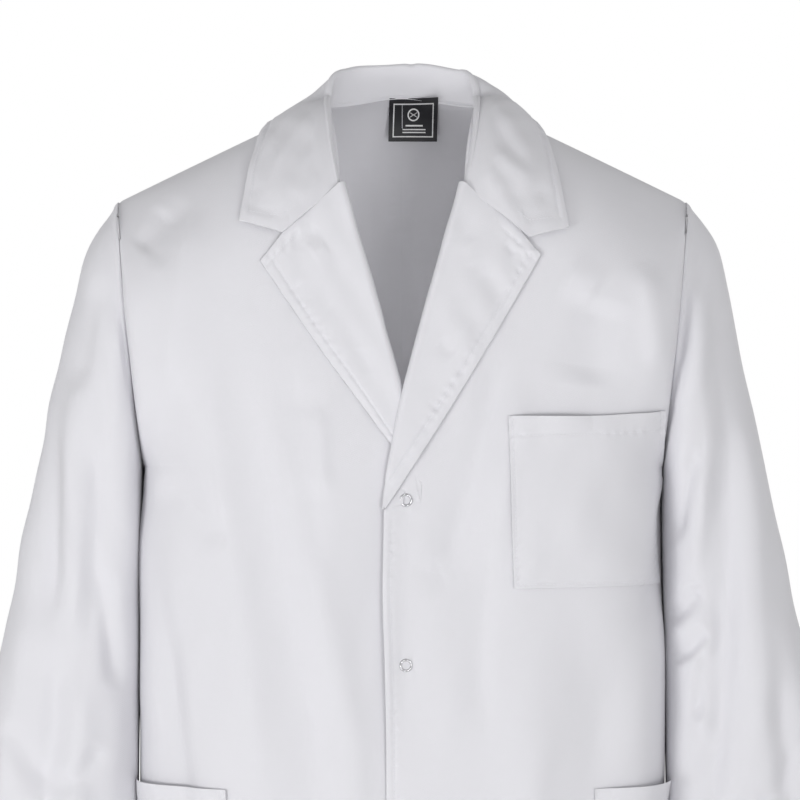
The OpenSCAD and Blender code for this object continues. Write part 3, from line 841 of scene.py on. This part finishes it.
def back_grid():
    """Columns start at the neck's round part and go on along the shoulder."""
    turn = linspace(0, 1, 13, endpoint=False) * math.pi / 2
    shoulder = bulge_x(linspace(bulge_angle(NECK_HALF, TIP_X), math.pi / 2, 52), TIP_X)
    share = concatenate([NECK_HALF * sin(turn), shoulder]) / TIP_X
    top_m = concatenate([-NECK_BACK * cos(turn), np.full(52, -0.15)])
    rows = concatenate([linspace(0, 1, 130, endpoint=False), 1 + linspace(0, 1, 150)])
    r, share = grid(rows, share)
    v, low = clip(r, 0, 1), clip(r - 1, 0, 1)
    z_rim, z_low = rim_z(v), mix(FLAP_Z, HEM_Z, low)
    reach = half_width(where(r < 1, z_rim, z_low))
    x = share * reach
    m_rim = np.minimum(back_m(reach, z_rim), -0.15)
    m_mid = mix(-NECK_BACK, float(back_m(0.0, FLAP_Z)), v)
    extra = (top_m - mix(-NECK_BACK, -0.15, share)) * (1 - v) ** 6
    bent = mix(mix(m_mid, m_rim, share) + extra, back_m(x, FLAP_Z), ease((v - 0.8) / 0.2))
    return x, where(r < 1, bent, back_m(x, z_low))


BACK_GRID = back_grid()


def back_sheet(name, side, lift=0.0, thick=CLOTH, rows=slice(None)):
    return sheet_on(lambda a, b: back_at(a, b, side, lift), name, BACK_GRID, -side, thick, rows)


def make_back(side):
    w = word(side)
    ob = back_sheet(w + "_back_cloth", side)
    hem = back_sheet(w + "_back_hem_turn", side, *HEM_LAYER, rows=slice(-7, None))
    for piece, node_name in ((ob, "_back"), (hem, "_back_hem")):
        ride_coat(piece)
        name_piece(piece, w + node_name)


def inside_back(name, box, spots, lift, thick, hang=None, material=CLOTH_MAT):
    """A piece with rows and columns of spots over a box (x0, x1, z0, z1) inside the back."""
    z, x = grid(linspace(box[2], box[3], spots[0]), linspace(box[0], box[1], spots[1]))
    m, way = back_m(np.abs(x), z), where(x < 0, -1.0, 1.0)
    n = -normals(body, np.abs(x), m)
    n[..., 0] *= way
    p = body(np.abs(x), m) + n * lift
    p[..., 0] *= way
    if hang:
        p = p + hang(x, z)
    ob = panel(name, p, grid_normals(p, -FORWARD), thick, material=material)
    ride_coat(ob)
    return ob, p


def make_back_small():
    vent, _ = inside_back("back_vent_underlap_cloth", (-3, 40, VENT_Z, HEM_Z + 1), (80, 16), -1.6, 0.9)
    name_piece(vent, "back_vent_underlap")
    k, a = grid(linspace(0, 1, 8), np.radians(linspace(-74, 74, 90)))
    x, m = NECK_HALF * sin(np.abs(a)), -NECK_BACK * cos(a) - mix(0.5, 11.5, k)
    p, n = body(x, m), -normals(body, x, m)
    s = where(a < 0, -1.0, 1.0)
    n[..., 0] *= s
    p = p - n * (1.7 - 0.5 * sin(math.pi * k))[..., None]
    p[..., 0] *= s
    tape = panel("neck_tape_cloth", p, n, 0.8)
    ride_coat(tape)
    name_piece(tape, "neck_tape")


# ---- label
LABEL_BOX = (-11.0, 33.0, 11.0, -27.0)
LABEL_BARS = [(0.08, 0.92, 0.10, 0.125), (0.08, 0.92, 0.875, 0.90), (0.08, 0.10, 0.10, 0.90),
              (0.90, 0.92, 0.10, 0.90), (0.34, 0.70, 0.60, 0.635), (0.28, 0.76, 0.70, 0.725),
              (0.28, 0.76, 0.77, 0.795)]
EMBLEM_U, EMBLEM_V = 0.5, 0.36


def label_hang(x, z):
    """The label hangs from its top edge, away from the curved back."""
    down = clip((LABEL_BOX[2] - z) / 37, 0, 1)
    off = np.zeros(np.shape(x) + (3,))
    off[..., 1] = -0.6 - 15 * down ** 1.3 - 0.5 * sin((x + 4) / 7.0) * down
    off[..., 0] = -1.2 * down
    return off


def grid_place(p, u, v):
    """Places at shares u across and v down a grid of points."""
    i, j = v * (p.shape[0] - 1), u * (p.shape[1] - 1)
    i0 = np.minimum(i.astype(int), p.shape[0] - 2)
    j0 = np.minimum(j.astype(int), p.shape[1] - 2)
    top, low = (mix(p[k, j0], p[k, j0 + 1], (j - j0)[..., None]) for k in (i0, i0 + 1))
    return mix(top, low, (i - i0)[..., None])


def make_label():
    ob, p = inside_back("neck_label_cloth", LABEL_BOX, (24, 24), -2.4, 0.5, label_hang, LABEL_MAT)
    name_piece(ob, "neck_label")

    def mark(name, u, v):
        spots = grid_place(p, u, v)
        n = grid_normals(spots, FORWARD)
        piece = panel(name, spots + n * 0.9, n, 0.15, material=LABEL_THREAD)
        ride_coat(piece)

    for k, (u0, u1, v0, v1) in enumerate(LABEL_BARS):
        v, u = grid(linspace(v0, v1, 6), linspace(u0, u1, 20))
        mark("label_mark_%d" % k, u, v)
    v, turn = grid(linspace(0, 1, 4), linspace(0, 2 * math.pi, 40))
    mark("label_ring", EMBLEM_U + mix(0.10, 0.125, v) * cos(turn),
         EMBLEM_V + mix(0.12, 0.15, v) * sin(turn))
    v, u = grid(linspace(-0.015, 0.015, 4), linspace(-0.07, 0.07, 12))
    for k, tilt in enumerate((0.7, -0.7)):
        mark("label_leaf_%d" % k, EMBLEM_U + u + v * tilt, EMBLEM_V + u * tilt + v)


# ---- sleeves
# outer x and z, inner x and z, half depth, middle y
SLEEVE_ROWS = np.array([
    [TIP_X, TIP_Z, 229, -320, 72, 0], [279, -131, 238, -340, 77, -1],
    [297, -206, 245, -385, 74, -3], [318, -305, 251, -450, 64, -8],
    [346, -440, 255, -530, 57, -16], [374, -570, 262, -625, 50, -26],
    [401, -700, 272, -730, 45, -38]], float)
SLEEVE_RUN = 640.0
SLEEVE_FOLDS = {1: [
    (-4.6, 10, 16, 268, -190, 282, -260, 288, -300, 286, -366, 283, -430, 280, -490, 272, -582, 268,
     -660), (3.0, 15, 20, 300, -250, 306, -340, 308, -440, 312, -540, 318, -640),
    (-3.6, 8, 9, 256, -296, 246, -350, 236, -392), (2.4, 8, 9, 264, -310, 262, -360, 254, -420),
    (-3.6, 8, 9, 262, -425, 244, -445, 228, -458), (3.2, 9, 10, 270, -440, 262, -500, 266, -573),
    (-3.6, 6, 10, 270, -462, 250, -480, 230, -492), (-3.4, 9, 7, 264, -474, 260, -510, 256, -545),
    (-2.6, 13, 11, 326, -500, 336, -580, 346, -660), (-2.4, 9, 8, 240, -150, 236, -190, 232, -240),
    (2.2, 12, 10, 254, -150, 258, -200, 252, -270), (-1.8, 10, 12, 276, -170, 290, -240, 298, -300),
    (2.4, 12, 12, 330, -430, 344, -520, 362, -620), (-2.8, 12, 12, 290, -600, 300, -650, 330, -700),
    (-2.4, 10, 10, 348, -560, 330, -600, 306, -620),
], -1: [
    (-3.0, 9, 9, 308, -270, 306, -330, 306, -405, 312, -470),
    (-3.2, 9, 10, 268, -290, 266, -350, 270, -420, 276, -500),
    (2.8, 11, 12, 288, -230, 288, -330, 290, -440),
    (4.2, 15, 14, 281, -480, 280, -560, 284, -620, 292, -690),
    (-3.2, 12, 12, 300, -470, 304, -560, 316, -660), (3.0, 12, 14, 326, -430, 336, -520, 350, -620),
    (-3.6, 9, 9, 262, -400, 256, -460, 250, -520), (2.6, 10, 10, 240, -170, 250, -240, 254, -320),
    (-2.2, 12, 12, 262, -150, 276, -200, 286, -260), (-2.6, 9, 10, 262, -560, 280, -590, 310, -604),
    (-2.2, 10, 10, 346, -540, 326, -580, 300, -600),
]}
BACK_SLEEVE_FOLDS = [
    (-3.4, 12, 12, 240, -180, 256, -280, 262, -380), (3, 14, 14, 280, -200, 292, -320, 300, -430),
    (-3.6, 9, 12, 250, -420, 280, -450, 320, -470), (3, 10, 12, 256, -470, 290, -500, 330, -505),
    (-3.4, 9, 12, 262, -520, 290, -560, 340, -570), (3, 14, 14, 310, -560, 326, -620, 350, -690),
    (-2.6, 10, 12, 290, -640, 300, -680, 330, -712),
]


def spline(rows, t):
    """Smooth curve through the rows, evenly spaced in t from 0 to 1."""
    n = len(rows) - 1
    s = clip(t, 0, 1) * n
    k = np.minimum(s.astype(int), n - 1)
    f = (s - k)[..., None]
    p0, p1 = rows[np.maximum(k - 1, 0)], rows[k]
    p2, p3 = rows[k + 1], rows[np.minimum(k + 2, n)]
    m1, m2 = (p2 - p0) / 2, (p3 - p1) / 2
    m1 = where((k == 0)[..., None], p2 - p1, m1)
    return (p1 * (2 * f ** 3 - 3 * f ** 2 + 1) + m1 * (f ** 3 - 2 * f ** 2 + f)
            + p2 * (3 * f ** 2 - 2 * f ** 3) + m2 * (f ** 3 - f ** 2))


def sleeve_base(u, v):
    """u = 0 is the outer line and u = 0.5 the inner one, which lies against the coat's side."""
    r = spline(SLEEVE_ROWS, v)
    close = half_width(r[..., 3]) + 0.4 * ease(v / 0.05)
    inner = mix(close, r[..., 2], ease((-r[..., 3] - 640) / 100))
    r = concatenate([r[..., :2], inner[..., None], r[..., 3:]], -1)
    c, s = cos(u * 2 * math.pi), sin(u * 2 * math.pi)
    blunt = where(c < 0, 1 - 0.30 * ease(v / 0.06), 1.0)
    c, s = np.sign(c) * np.abs(c) ** blunt, np.sign(s) * np.abs(s) ** blunt
    half = (1 + c) / 2
    return stack([mix(r[..., 2], r[..., 0], half), r[..., 5] - r[..., 4] * s,
                     mix(r[..., 3], r[..., 1], half)], -1)


def sleeve_relief(u, v, p, side):
    x, z = p[..., 0], p[..., 2]
    t = 2 * math.pi * u
    front, back = ease((sin(t) + 0.25) / 0.6), ease((0.25 - sin(t)) / 0.6)
    total = 1.1 * sin(3 * t + 5 * v + side) + 0.8 * sin(5 * t - 9 * v + 1.3 * side)
    total = total + waves(x, z, 63 + side, 6, 50, 150, 0.9)
    total = total + SLEEVE_FOLD_GAIN * front * creases(x, z, SLEEVE_FOLDS[side])
    total = total + back * creases(x, z, BACK_SLEEVE_FOLDS)
    inside = ease(np.abs(u - 0.5) / 0.13)
    total = total * ease(v / 0.09) * mix(inside, 1, ease((v - 0.86) / 0.1))
    total = total + pucker((1 - v) * SLEEVE_RUN, t * 60, HEM_STITCH, 0.7, 7) * (v > 0.8)
    total = total + 0.8 * exp(-((v - 0.012) / 0.012) ** 2) * inside
    seam = np.abs(u - 0.5) * 300
    return total - 0.8 * exp(-(seam / 2.2) ** 2)


def sleeve_at(u, v, side, lift=0.0):
    p = sleeve_base(u, v)
    n = normals(sleeve_base, u, v, 0.002)
    mid = mix(sleeve_base(0 * u, v), sleeve_base(0 * u + 0.5, v), 0.5)
    n = n * where(np.sum(n * (p - mid), -1) > 0, 1.0, -1.0)[..., None]
    p = p + n * (sleeve_relief(u, v, p, side) + lift)[..., None]
    p[..., 0] = (p[..., 0] - 0.3 * (1 - ease(v / 0.008))) * side
    return p


def sleeve_grid(side, lift, v0, v1, rows):
    v = linspace(v0, v1, rows)
    if v0 == 0:
        v = concatenate([linspace(0, 0.03, 10, endpoint=False), linspace(0.03, v1, rows)])
    v, u = grid(v, linspace(0, 1, 168, endpoint=False))
    p = sleeve_at(u, v, side, lift)
    du = np.roll(p, -1, 1) - np.roll(p, 1, 1)
    dv = np.gradient(p, axis=0)
    n = unit(np.cross(du, dv))
    mid = p.mean(1, keepdims=True)
    return p, n * np.sign(np.sum(n * (p - mid)))


ARM_START, ARM_END = (0.224, -0.300), (0.431, -0.486)  # x and z in metres


def make_sleeve(side):
    w = word(side)
    start, end = ((x * side, 0.0, z) for x, z in (ARM_START, ARM_END))
    p, n = sleeve_grid(side, 0.0, 0, 1, 190)
    ob = panel(w + "_sleeve_cloth", p, n, CLOTH, closed=True)
    lift, thick = HEM_LAYER
    p, n = sleeve_grid(side, lift, 0.965, 0.9985, 8)
    hem = panel(w + "_sleeve_hem_turn", p, n, thick, closed=True)
    for piece, node_name in ((ob, "_sleeve"), (hem, "_sleeve_hem")):
        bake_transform(piece)
        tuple(start)
        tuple(end)
        name_piece(piece, w + node_name)


# ---- pockets
def chest_spot(u, v):
    x = mix(mix(91, 96, v), mix(227.5, 229, v), u)
    z = mix(mix(-276, -271, u), mix(-424, -422.5, u), v)
    return x, z


def lower_spot(inner, outer):
    def spot(u, v):
        z = mix(mix(-598, -594, u), -802, v)
        wide = half_width(z)
        ends = [bulge_angle(mix(top, foot, v), wide) for top, foot in (inner, outer)]
        return bulge_x(mix(ends[0], ends[1], u), wide), z
    return spot


# each pocket: place of a spot, side, flat size in metres, opening of the mouth from u to u, hem
POCKETS = {
    "chest_pocket": (chest_spot, 1, (0.140, 0.152), (5.5, 0.03, 0.52), "chest_pocket_mouth_hem"),
    "left_lower_pocket": (lower_spot((167, 165), (238, 241)), 1, (0.17, 0.21), (6.0, 0.1, 0.9),
                          "left_pocket_mouth_hem"),
    "right_lower_pocket": (lower_spot((151.5, 150), (236, 240)), -1, (0.17, 0.21), (5.0, 0.1, 0.8),
                           "right_pocket_mouth_hem"),
}


def pocket_lift(name, u, v, x, z):
    """Height of a pocket spot over the front."""
    _, side, flat, (gape, first, last), _ = POCKETS[name]
    wide, tall = flat[0] / MM, flat[1] / MM
    near_side, near_foot, down = np.minimum(u, 1 - u) * wide, (1 - v) * tall, v * tall
    near = np.minimum(near_side, near_foot)
    mouth = sin(math.pi * clip((u - first) / (last - first), 0, 1)) ** 0.8
    h = 2.0 + 1.8 * ease(near / 22) + gape * mouth * exp(-down / 22) + 0.7 * exp(-down / 12)
    h = h + pucker(near, down + u * wide, POCKET_STITCH, 0.8, 51)
    h = h + 0.8 * pucker(down, u * wide, MOUTH_STITCH, 1.0, 53)
    return h + waves(x, z, 55 + side, 5, 95, 130, 0.5) * ease(near / 20)


def pocket_at(name, u, v, extra=0.0):
    spot, side = POCKETS[name][:2]
    x, z = spot(u, v)
    m = front_m(x, z)
    height = front_relief(x, z, side) + pocket_lift(name, u, v, x, z) + extra
    p = front_base(x, m, side) + front_normal(x, m, side) * height[..., None]
    if name == "chest_pocket":
        p[..., 2] -= 2.2 * sin(math.pi * u) * exp(-v * 8)
    return p


def make_pocket(name):
    _, side, flat, _, hem_name = POCKETS[name]
    v, u = grid(linspace(0, 1, 90), linspace(0, 1, 90))
    p = pocket_at(name, u, v)
    ob = panel(name + "_cloth", p, grid_normals(p, FORWARD), 0.9)
    v, u = grid(linspace(0.004, 0.10, 10), linspace(0.03, 0.97, 60))
    p = pocket_at(name, u, v, -1.15)
    hem = panel(name + "_hem_turn", p, grid_normals(p, FORWARD), 0.6)
    for piece, node_name in ((ob, name), (hem, hem_name)):
        ride_coat(piece)
        name_piece(piece, node_name)
    word(side) + "_front_side_cloth"


# ---- snaps
def lathe(profile, wobble, sides=40, waves_round=5):
    """Solid of revolution round +Z from closed (radius, height) points."""
    pr = np.array(profile, float)
    t = linspace(0, 2 * math.pi, sides, endpoint=False)
    r = pr[:, :1] * np.ones(sides)
    h = pr[:, 1:] + wobble * cos(waves_round * t) * (pr[:, 1:] > 0.5)
    pts = stack([r * cos(t), r * sin(t), h], -1)
    a = np.arange(pr.shape[0] * sides).reshape(-1, sides)
    b = np.roll(a, -1, 1)
    faces = stack([a, b, np.roll(b, -1, 0), np.roll(a, -1, 0)], -1).reshape(-1, 4)
    return pts.reshape(-1, 3), faces


def snap_frames(side, depth):
    """Middle and directions of each snap, depth above the cloth."""
    def fn(a, b):
        return front_at(a, b, side)
    for z in SNAP_Z:
        x = np.array(side * SNAP_X)
        m = front_m(x, z)
        n = normals(fn, x, m, 2.0) * -side
        right = unit(np.cross(UP, n))
        yield fn(x, m) + n * depth, right, np.cross(n, right), n


def place_rings(name, profile, side, depth, node_name, body_name, wobble=0.0):
    pts, faces = lathe(profile, wobble)
    co, fc = [], []
    for k, (p, e1, e2, n) in enumerate(snap_frames(side, depth)):
        c, s = math.cos(0.7 * k), math.sin(0.7 * k)
        x, y = pts[:, :1] * c - pts[:, 1:2] * s, pts[:, :1] * s + pts[:, 1:2] * c
        co.append(p + x * e1 + y * e2 + pts[:, 2:] * n)
        fc.append(faces + k * len(pts))
    ob = mesh_object(name, concatenate(co), concatenate(fc), None, STEEL_MAT)
    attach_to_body(ob, body_name)
    name_piece(ob, node_name)


RING = [(3.75, -0.2), (5.5, -0.2), (5.75, 0.3), (5.6, 0.95), (5.0, 1.35), (4.3, 1.3), (3.9, 0.9),
        (3.75, 0.4)]
SOCKET = [(2.1, 0.0), (5.2, 0.0), (5.4, 0.5), (5.0, 1.3), (2.6, 1.5), (2.1, 1.2)]
STUD = [(0.01, 0.0), (5.4, 0.0), (5.4, 0.3), (2.4, 0.6), (1.7, 1.1), (1.9, 1.9), (1.2, 2.4),
        (0.01, 2.4)]


def make_snaps():
    place_rings("snap_cap_ring_set", RING, 1, 0.0, "snap_cap_rings", "left_front", wobble=0.16)
    place_rings("snap_socket_set", SOCKET, 1, -4.2, "snap_sockets", "left_front")
    place_rings("snap_stud_set", STUD, -1, 0.0, "snap_studs", "right_front")
    back_ring = [(r, -h) for r, h in RING][::-1]
    place_rings("snap_stud_ring_set", back_ring, -1, -2.9, "snap_stud_rings", "right_front")


# ---- stitches
def stitch_shape():
    """A short closed spindle along +X."""
    ring = [(math.cos(t), math.sin(t)) for t in linspace(0, 2 * math.pi, 6, endpoint=False)]
    pts = [(-1.0, 0, 0)]
    for along_x, r in ((-0.75, 0.7), (0.0, 1.0), (0.75, 0.7)):
        pts += [(along_x, r * a, r * b) for a, b in ring]
    pts.append((1.0, 0, 0))
    faces = [(0, 1 + (k + 1) % 6, 1 + k) for k in range(6)]
    for g in (1, 7):
        for k in range(6):
            a, b = g + k, g + (k + 1) % 6
            faces += [(a, b, b + 6), (a, b + 6, a + 6)]
    faces += [(19, 13 + k, 13 + (k + 1) % 6) for k in range(6)]
    return np.array(pts), np.array(faces)


STITCH_PTS, STITCH_FACES = stitch_shape()


def stitch_line(pts, nrm, pitch=3.2, length=2.3, width=0.6, lift=0.15):
    """Stitches along a fine polyline on the cloth."""
    run = concatenate([[0], np.cumsum(np.linalg.norm(np.diff(pts, axis=0), axis=1))])
    at = np.arange(pitch / 2, run[-1] - pitch / 2, pitch)

    def read(values, s):
        return stack([np.interp(s, run, values[:, k]) for k in range(3)], -1)
    a, b = read(pts, at - length / 2), read(pts, at + length / 2)
    n = unit(read(nrm, at))
    mid = (a + b) / 2 + n * lift
    t = unit(b - a)
    side = unit(np.cross(n, t))
    q = STITCH_PTS
    co = (mid[:, None] + t[:, None] * q[None, :, :1] * length / 2
          + side[:, None] * q[None, :, 1:2] * width / 2 + n[:, None] * q[None, :, 2:] * width * 0.32)
    faces = STITCH_FACES[None] + (np.arange(len(at)) * len(q))[:, None, None]
    return co.reshape(-1, 3), faces.reshape(-1, 3)


def stitches(name, lines, attach):
    co, faces, base = [], [], 0
    for pts, nrm in lines:
        c, f = stitch_line(pts, nrm)
        co.append(c)
        faces.append(f + base)
        base += len(c)
    ob = mesh_object(name, concatenate(co), concatenate(faces), None, THREAD_MAT)
    attach(ob)


def line_on(fn, a, b, e=0.004):
    """A line on a surface fn at places a and b, with its normals towards the front."""
    n = normals(fn, a, b, e)
    return fn(a, b), n * np.sign(n @ FORWARD)[:, None]


def make_stitches(side):
    w = word(side)

    def on_lapel(a, b):
        return lapel_at(a, b, side)

    def on_front(a, b):
        return front_at(a, front_m(a, b), side)

    def attach(ob):
        swing(ob, side)

    t = linspace(0, 1, 900)
    t = t[(lapel_wide(t, side) > 22) & (t > 0.03)]
    edge = line_on(on_lapel, 1 - TURN_STITCH / lapel_wide(t, side), t)
    gorge = linspace(0.60, 0.90, 200)
    top = line_on(on_lapel, gorge, GORGE_STITCH / lapel_tall(gorge))
    stitches(w + "_lapel_stitches", [edge, top], attach)
    z = linspace(-366, HEM_Z + 26, 2400)
    run = line_on(on_front, edge_x(z) + EDGE_STITCH, z, 0.3)
    stitches(w + "_edge_stitches", [run], attach)
    x = linspace(92, 236, 700)
    hem = line_on(on_front, x, np.full_like(x, HEM_Z + HEM_STITCH), 0.3)
    stitches(w + "_hem_stitches", [hem], ride_coat)


def make_collar_stitches(side):
    half = 0.5 + side * linspace(0, 1, 900) * 0.49
    down = np.full_like(half, 1 - TURN_STITCH / 100 * 0.55)
    p = collar_at(half, down)
    n = unit(np.cross(np.roll(p, -1, 0) - p, collar_at(half, down - 0.006) - p))
    n = n * np.sign(np.sum(n * (p - NECK_HEART), -1))[:, None]
    p, n = p[:-12], n[:-12]
    ends = mix(0.72, 0.99, linspace(0, 1, 200))
    near = 7.0 / mix(95, 128, 0.8) * (COLLAR_END - LEAF_FROM) / (2 * COLLAR_END)
    front = collar_at(np.full_like(ends, 0.5 + side * (0.5 - near)), ends)
    stitches(word(side) + "_collar_stitches", [(p, n), (front, np.repeat(n[-1:], 200, 0))], ride_coat)


def pocket_stitches(name):
    flat = POCKETS[name][2]
    wide, tall = flat[0] / MM, flat[1] / MM

    def fn(a, b):
        return pocket_at(name, a, b)

    t, one = linspace(0, 1, 700), np.ones(700)
    left, foot = POCKET_STITCH / wide, 1 - POCKET_STITCH / tall
    u = concatenate([one * left, mix(left, 1 - left, t), one * (1 - left)])
    v = concatenate([mix(0.012, foot, t), one * foot, mix(foot, 0.012, t)])
    around = line_on(fn, u, v)
    across = line_on(fn, mix(0.03, 0.97, t), one * MOUTH_STITCH / tall)
    stitches(name + "_stitches", [around, across], ride_coat)


# ---- put together
for _side in (1, -1):
    make_front(_side)
    make_lapel(_side)
    make_back(_side)
    make_sleeve(_side)
    make_stitches(_side)
    make_collar_stitches(_side)
make_collar()
make_back_small()
make_label()
for _name in POCKETS:
    make_pocket(_name)
    pocket_stitches(_name)
make_snaps()


# ---- floor, lights and camera, in metres and watts
def area_light(name, size, power, place, target):
    data = bpy.data.lights.new(name, "AREA")
    data.shape = "RECTANGLE"
    data.size, data.size_y = size
    data.energy = power
    ob = bpy.data.objects.new(name, data)
    ob.location = place
    ob.rotation_euler = (Vector(target) - Vector(place)).to_track_quat("-Z", "Y").to_euler()
    bpy.context.collection.objects.link(ob)
    return ob


# height of the view's line from 0 (down) to 1 (up), and brightness
WORLD_STOPS = [(0.0, 0.55), (0.38, 0.55), (0.43, 1.0), (0.57, 1.0), (0.62, 0.46), (1.0, 0.46)]


def make_world():
    """White round the horizon and grey above and below it."""
    world = bpy.data.worlds.new("studio")
    bpy.context.scene.world = world
    world.use_nodes = True
    link = world.node_tree.links.new
    coord, split = node(world, "ShaderNodeTexCoord"), node(world, "ShaderNodeSeparateXYZ")
    rise = node(world, "ShaderNodeMath", operation="MULTIPLY_ADD")
    ramp = node(world, "ShaderNodeValToRGB")
    rise.inputs[1].default_value, rise.inputs[2].default_value = 0.5, 0.5
    link(coord.outputs["Generated"], split.inputs["Vector"])
    link(split.outputs["Z"], rise.inputs[0])
    link(rise.outputs["Value"], ramp.inputs["Fac"])
    while len(ramp.color_ramp.elements) < len(WORLD_STOPS):
        ramp.color_ramp.elements.new(0.5)
    for stop, (at, level) in zip(ramp.color_ramp.elements, WORLD_STOPS):
        stop.position = at
        stop.color = (level, level, level, 1)
    link(ramp.outputs["Color"], world.node_tree.nodes["Background"].inputs["Color"])


FLOOR_X, FLOOR_Y, FLOOR_Z = 12000, 8000, -1330


def make_floor():
    co = np.array([[x * FLOOR_X, y * FLOOR_Y, FLOOR_Z]
                   for x, y in ((-1, -1), (1, -1), (1, 1), (-1, 1))], float)
    mat, _ = shader("floor_white", (0.9, 0.9, 0.9), 0.9)
    mesh_object("floor", co, np.array([[0, 1, 2, 3]]), None, mat, smooth=False)


LENS, CAMERA_PLACE = 208.0, (-0.002, -4.1, -0.262)
COAT_MIDDLE, INSIDE_BACK = (0, 0, -0.55), (0, 0.1, -0.15)


def make_camera():
    data = bpy.data.cameras.new("camera")
    data.lens = LENS
    ob = bpy.data.objects.new("camera", data)
    ob.location = CAMERA_PLACE
    ob.rotation_euler = (math.pi / 2, 0, 0)
    bpy.context.collection.objects.link(ob)
    bpy.context.scene.camera = ob


make_world()
make_floor()
area_light("key", (0.9, 0.6), 28, (-2.2, -2.5, -0.95), COAT_MIDDLE)
area_light("fill", (0.9, 0.5), 26, (0.8, -3.3, -1.0), COAT_MIDDLE)
area_light("inside", (0.12, 0.2), 0.095, (0, -0.072, -0.17), INSIDE_BACK).visible_camera = False
make_camera()
bpy.context.scene.view_settings.view_transform = "Standard"

bpy.context.view_layer.update()
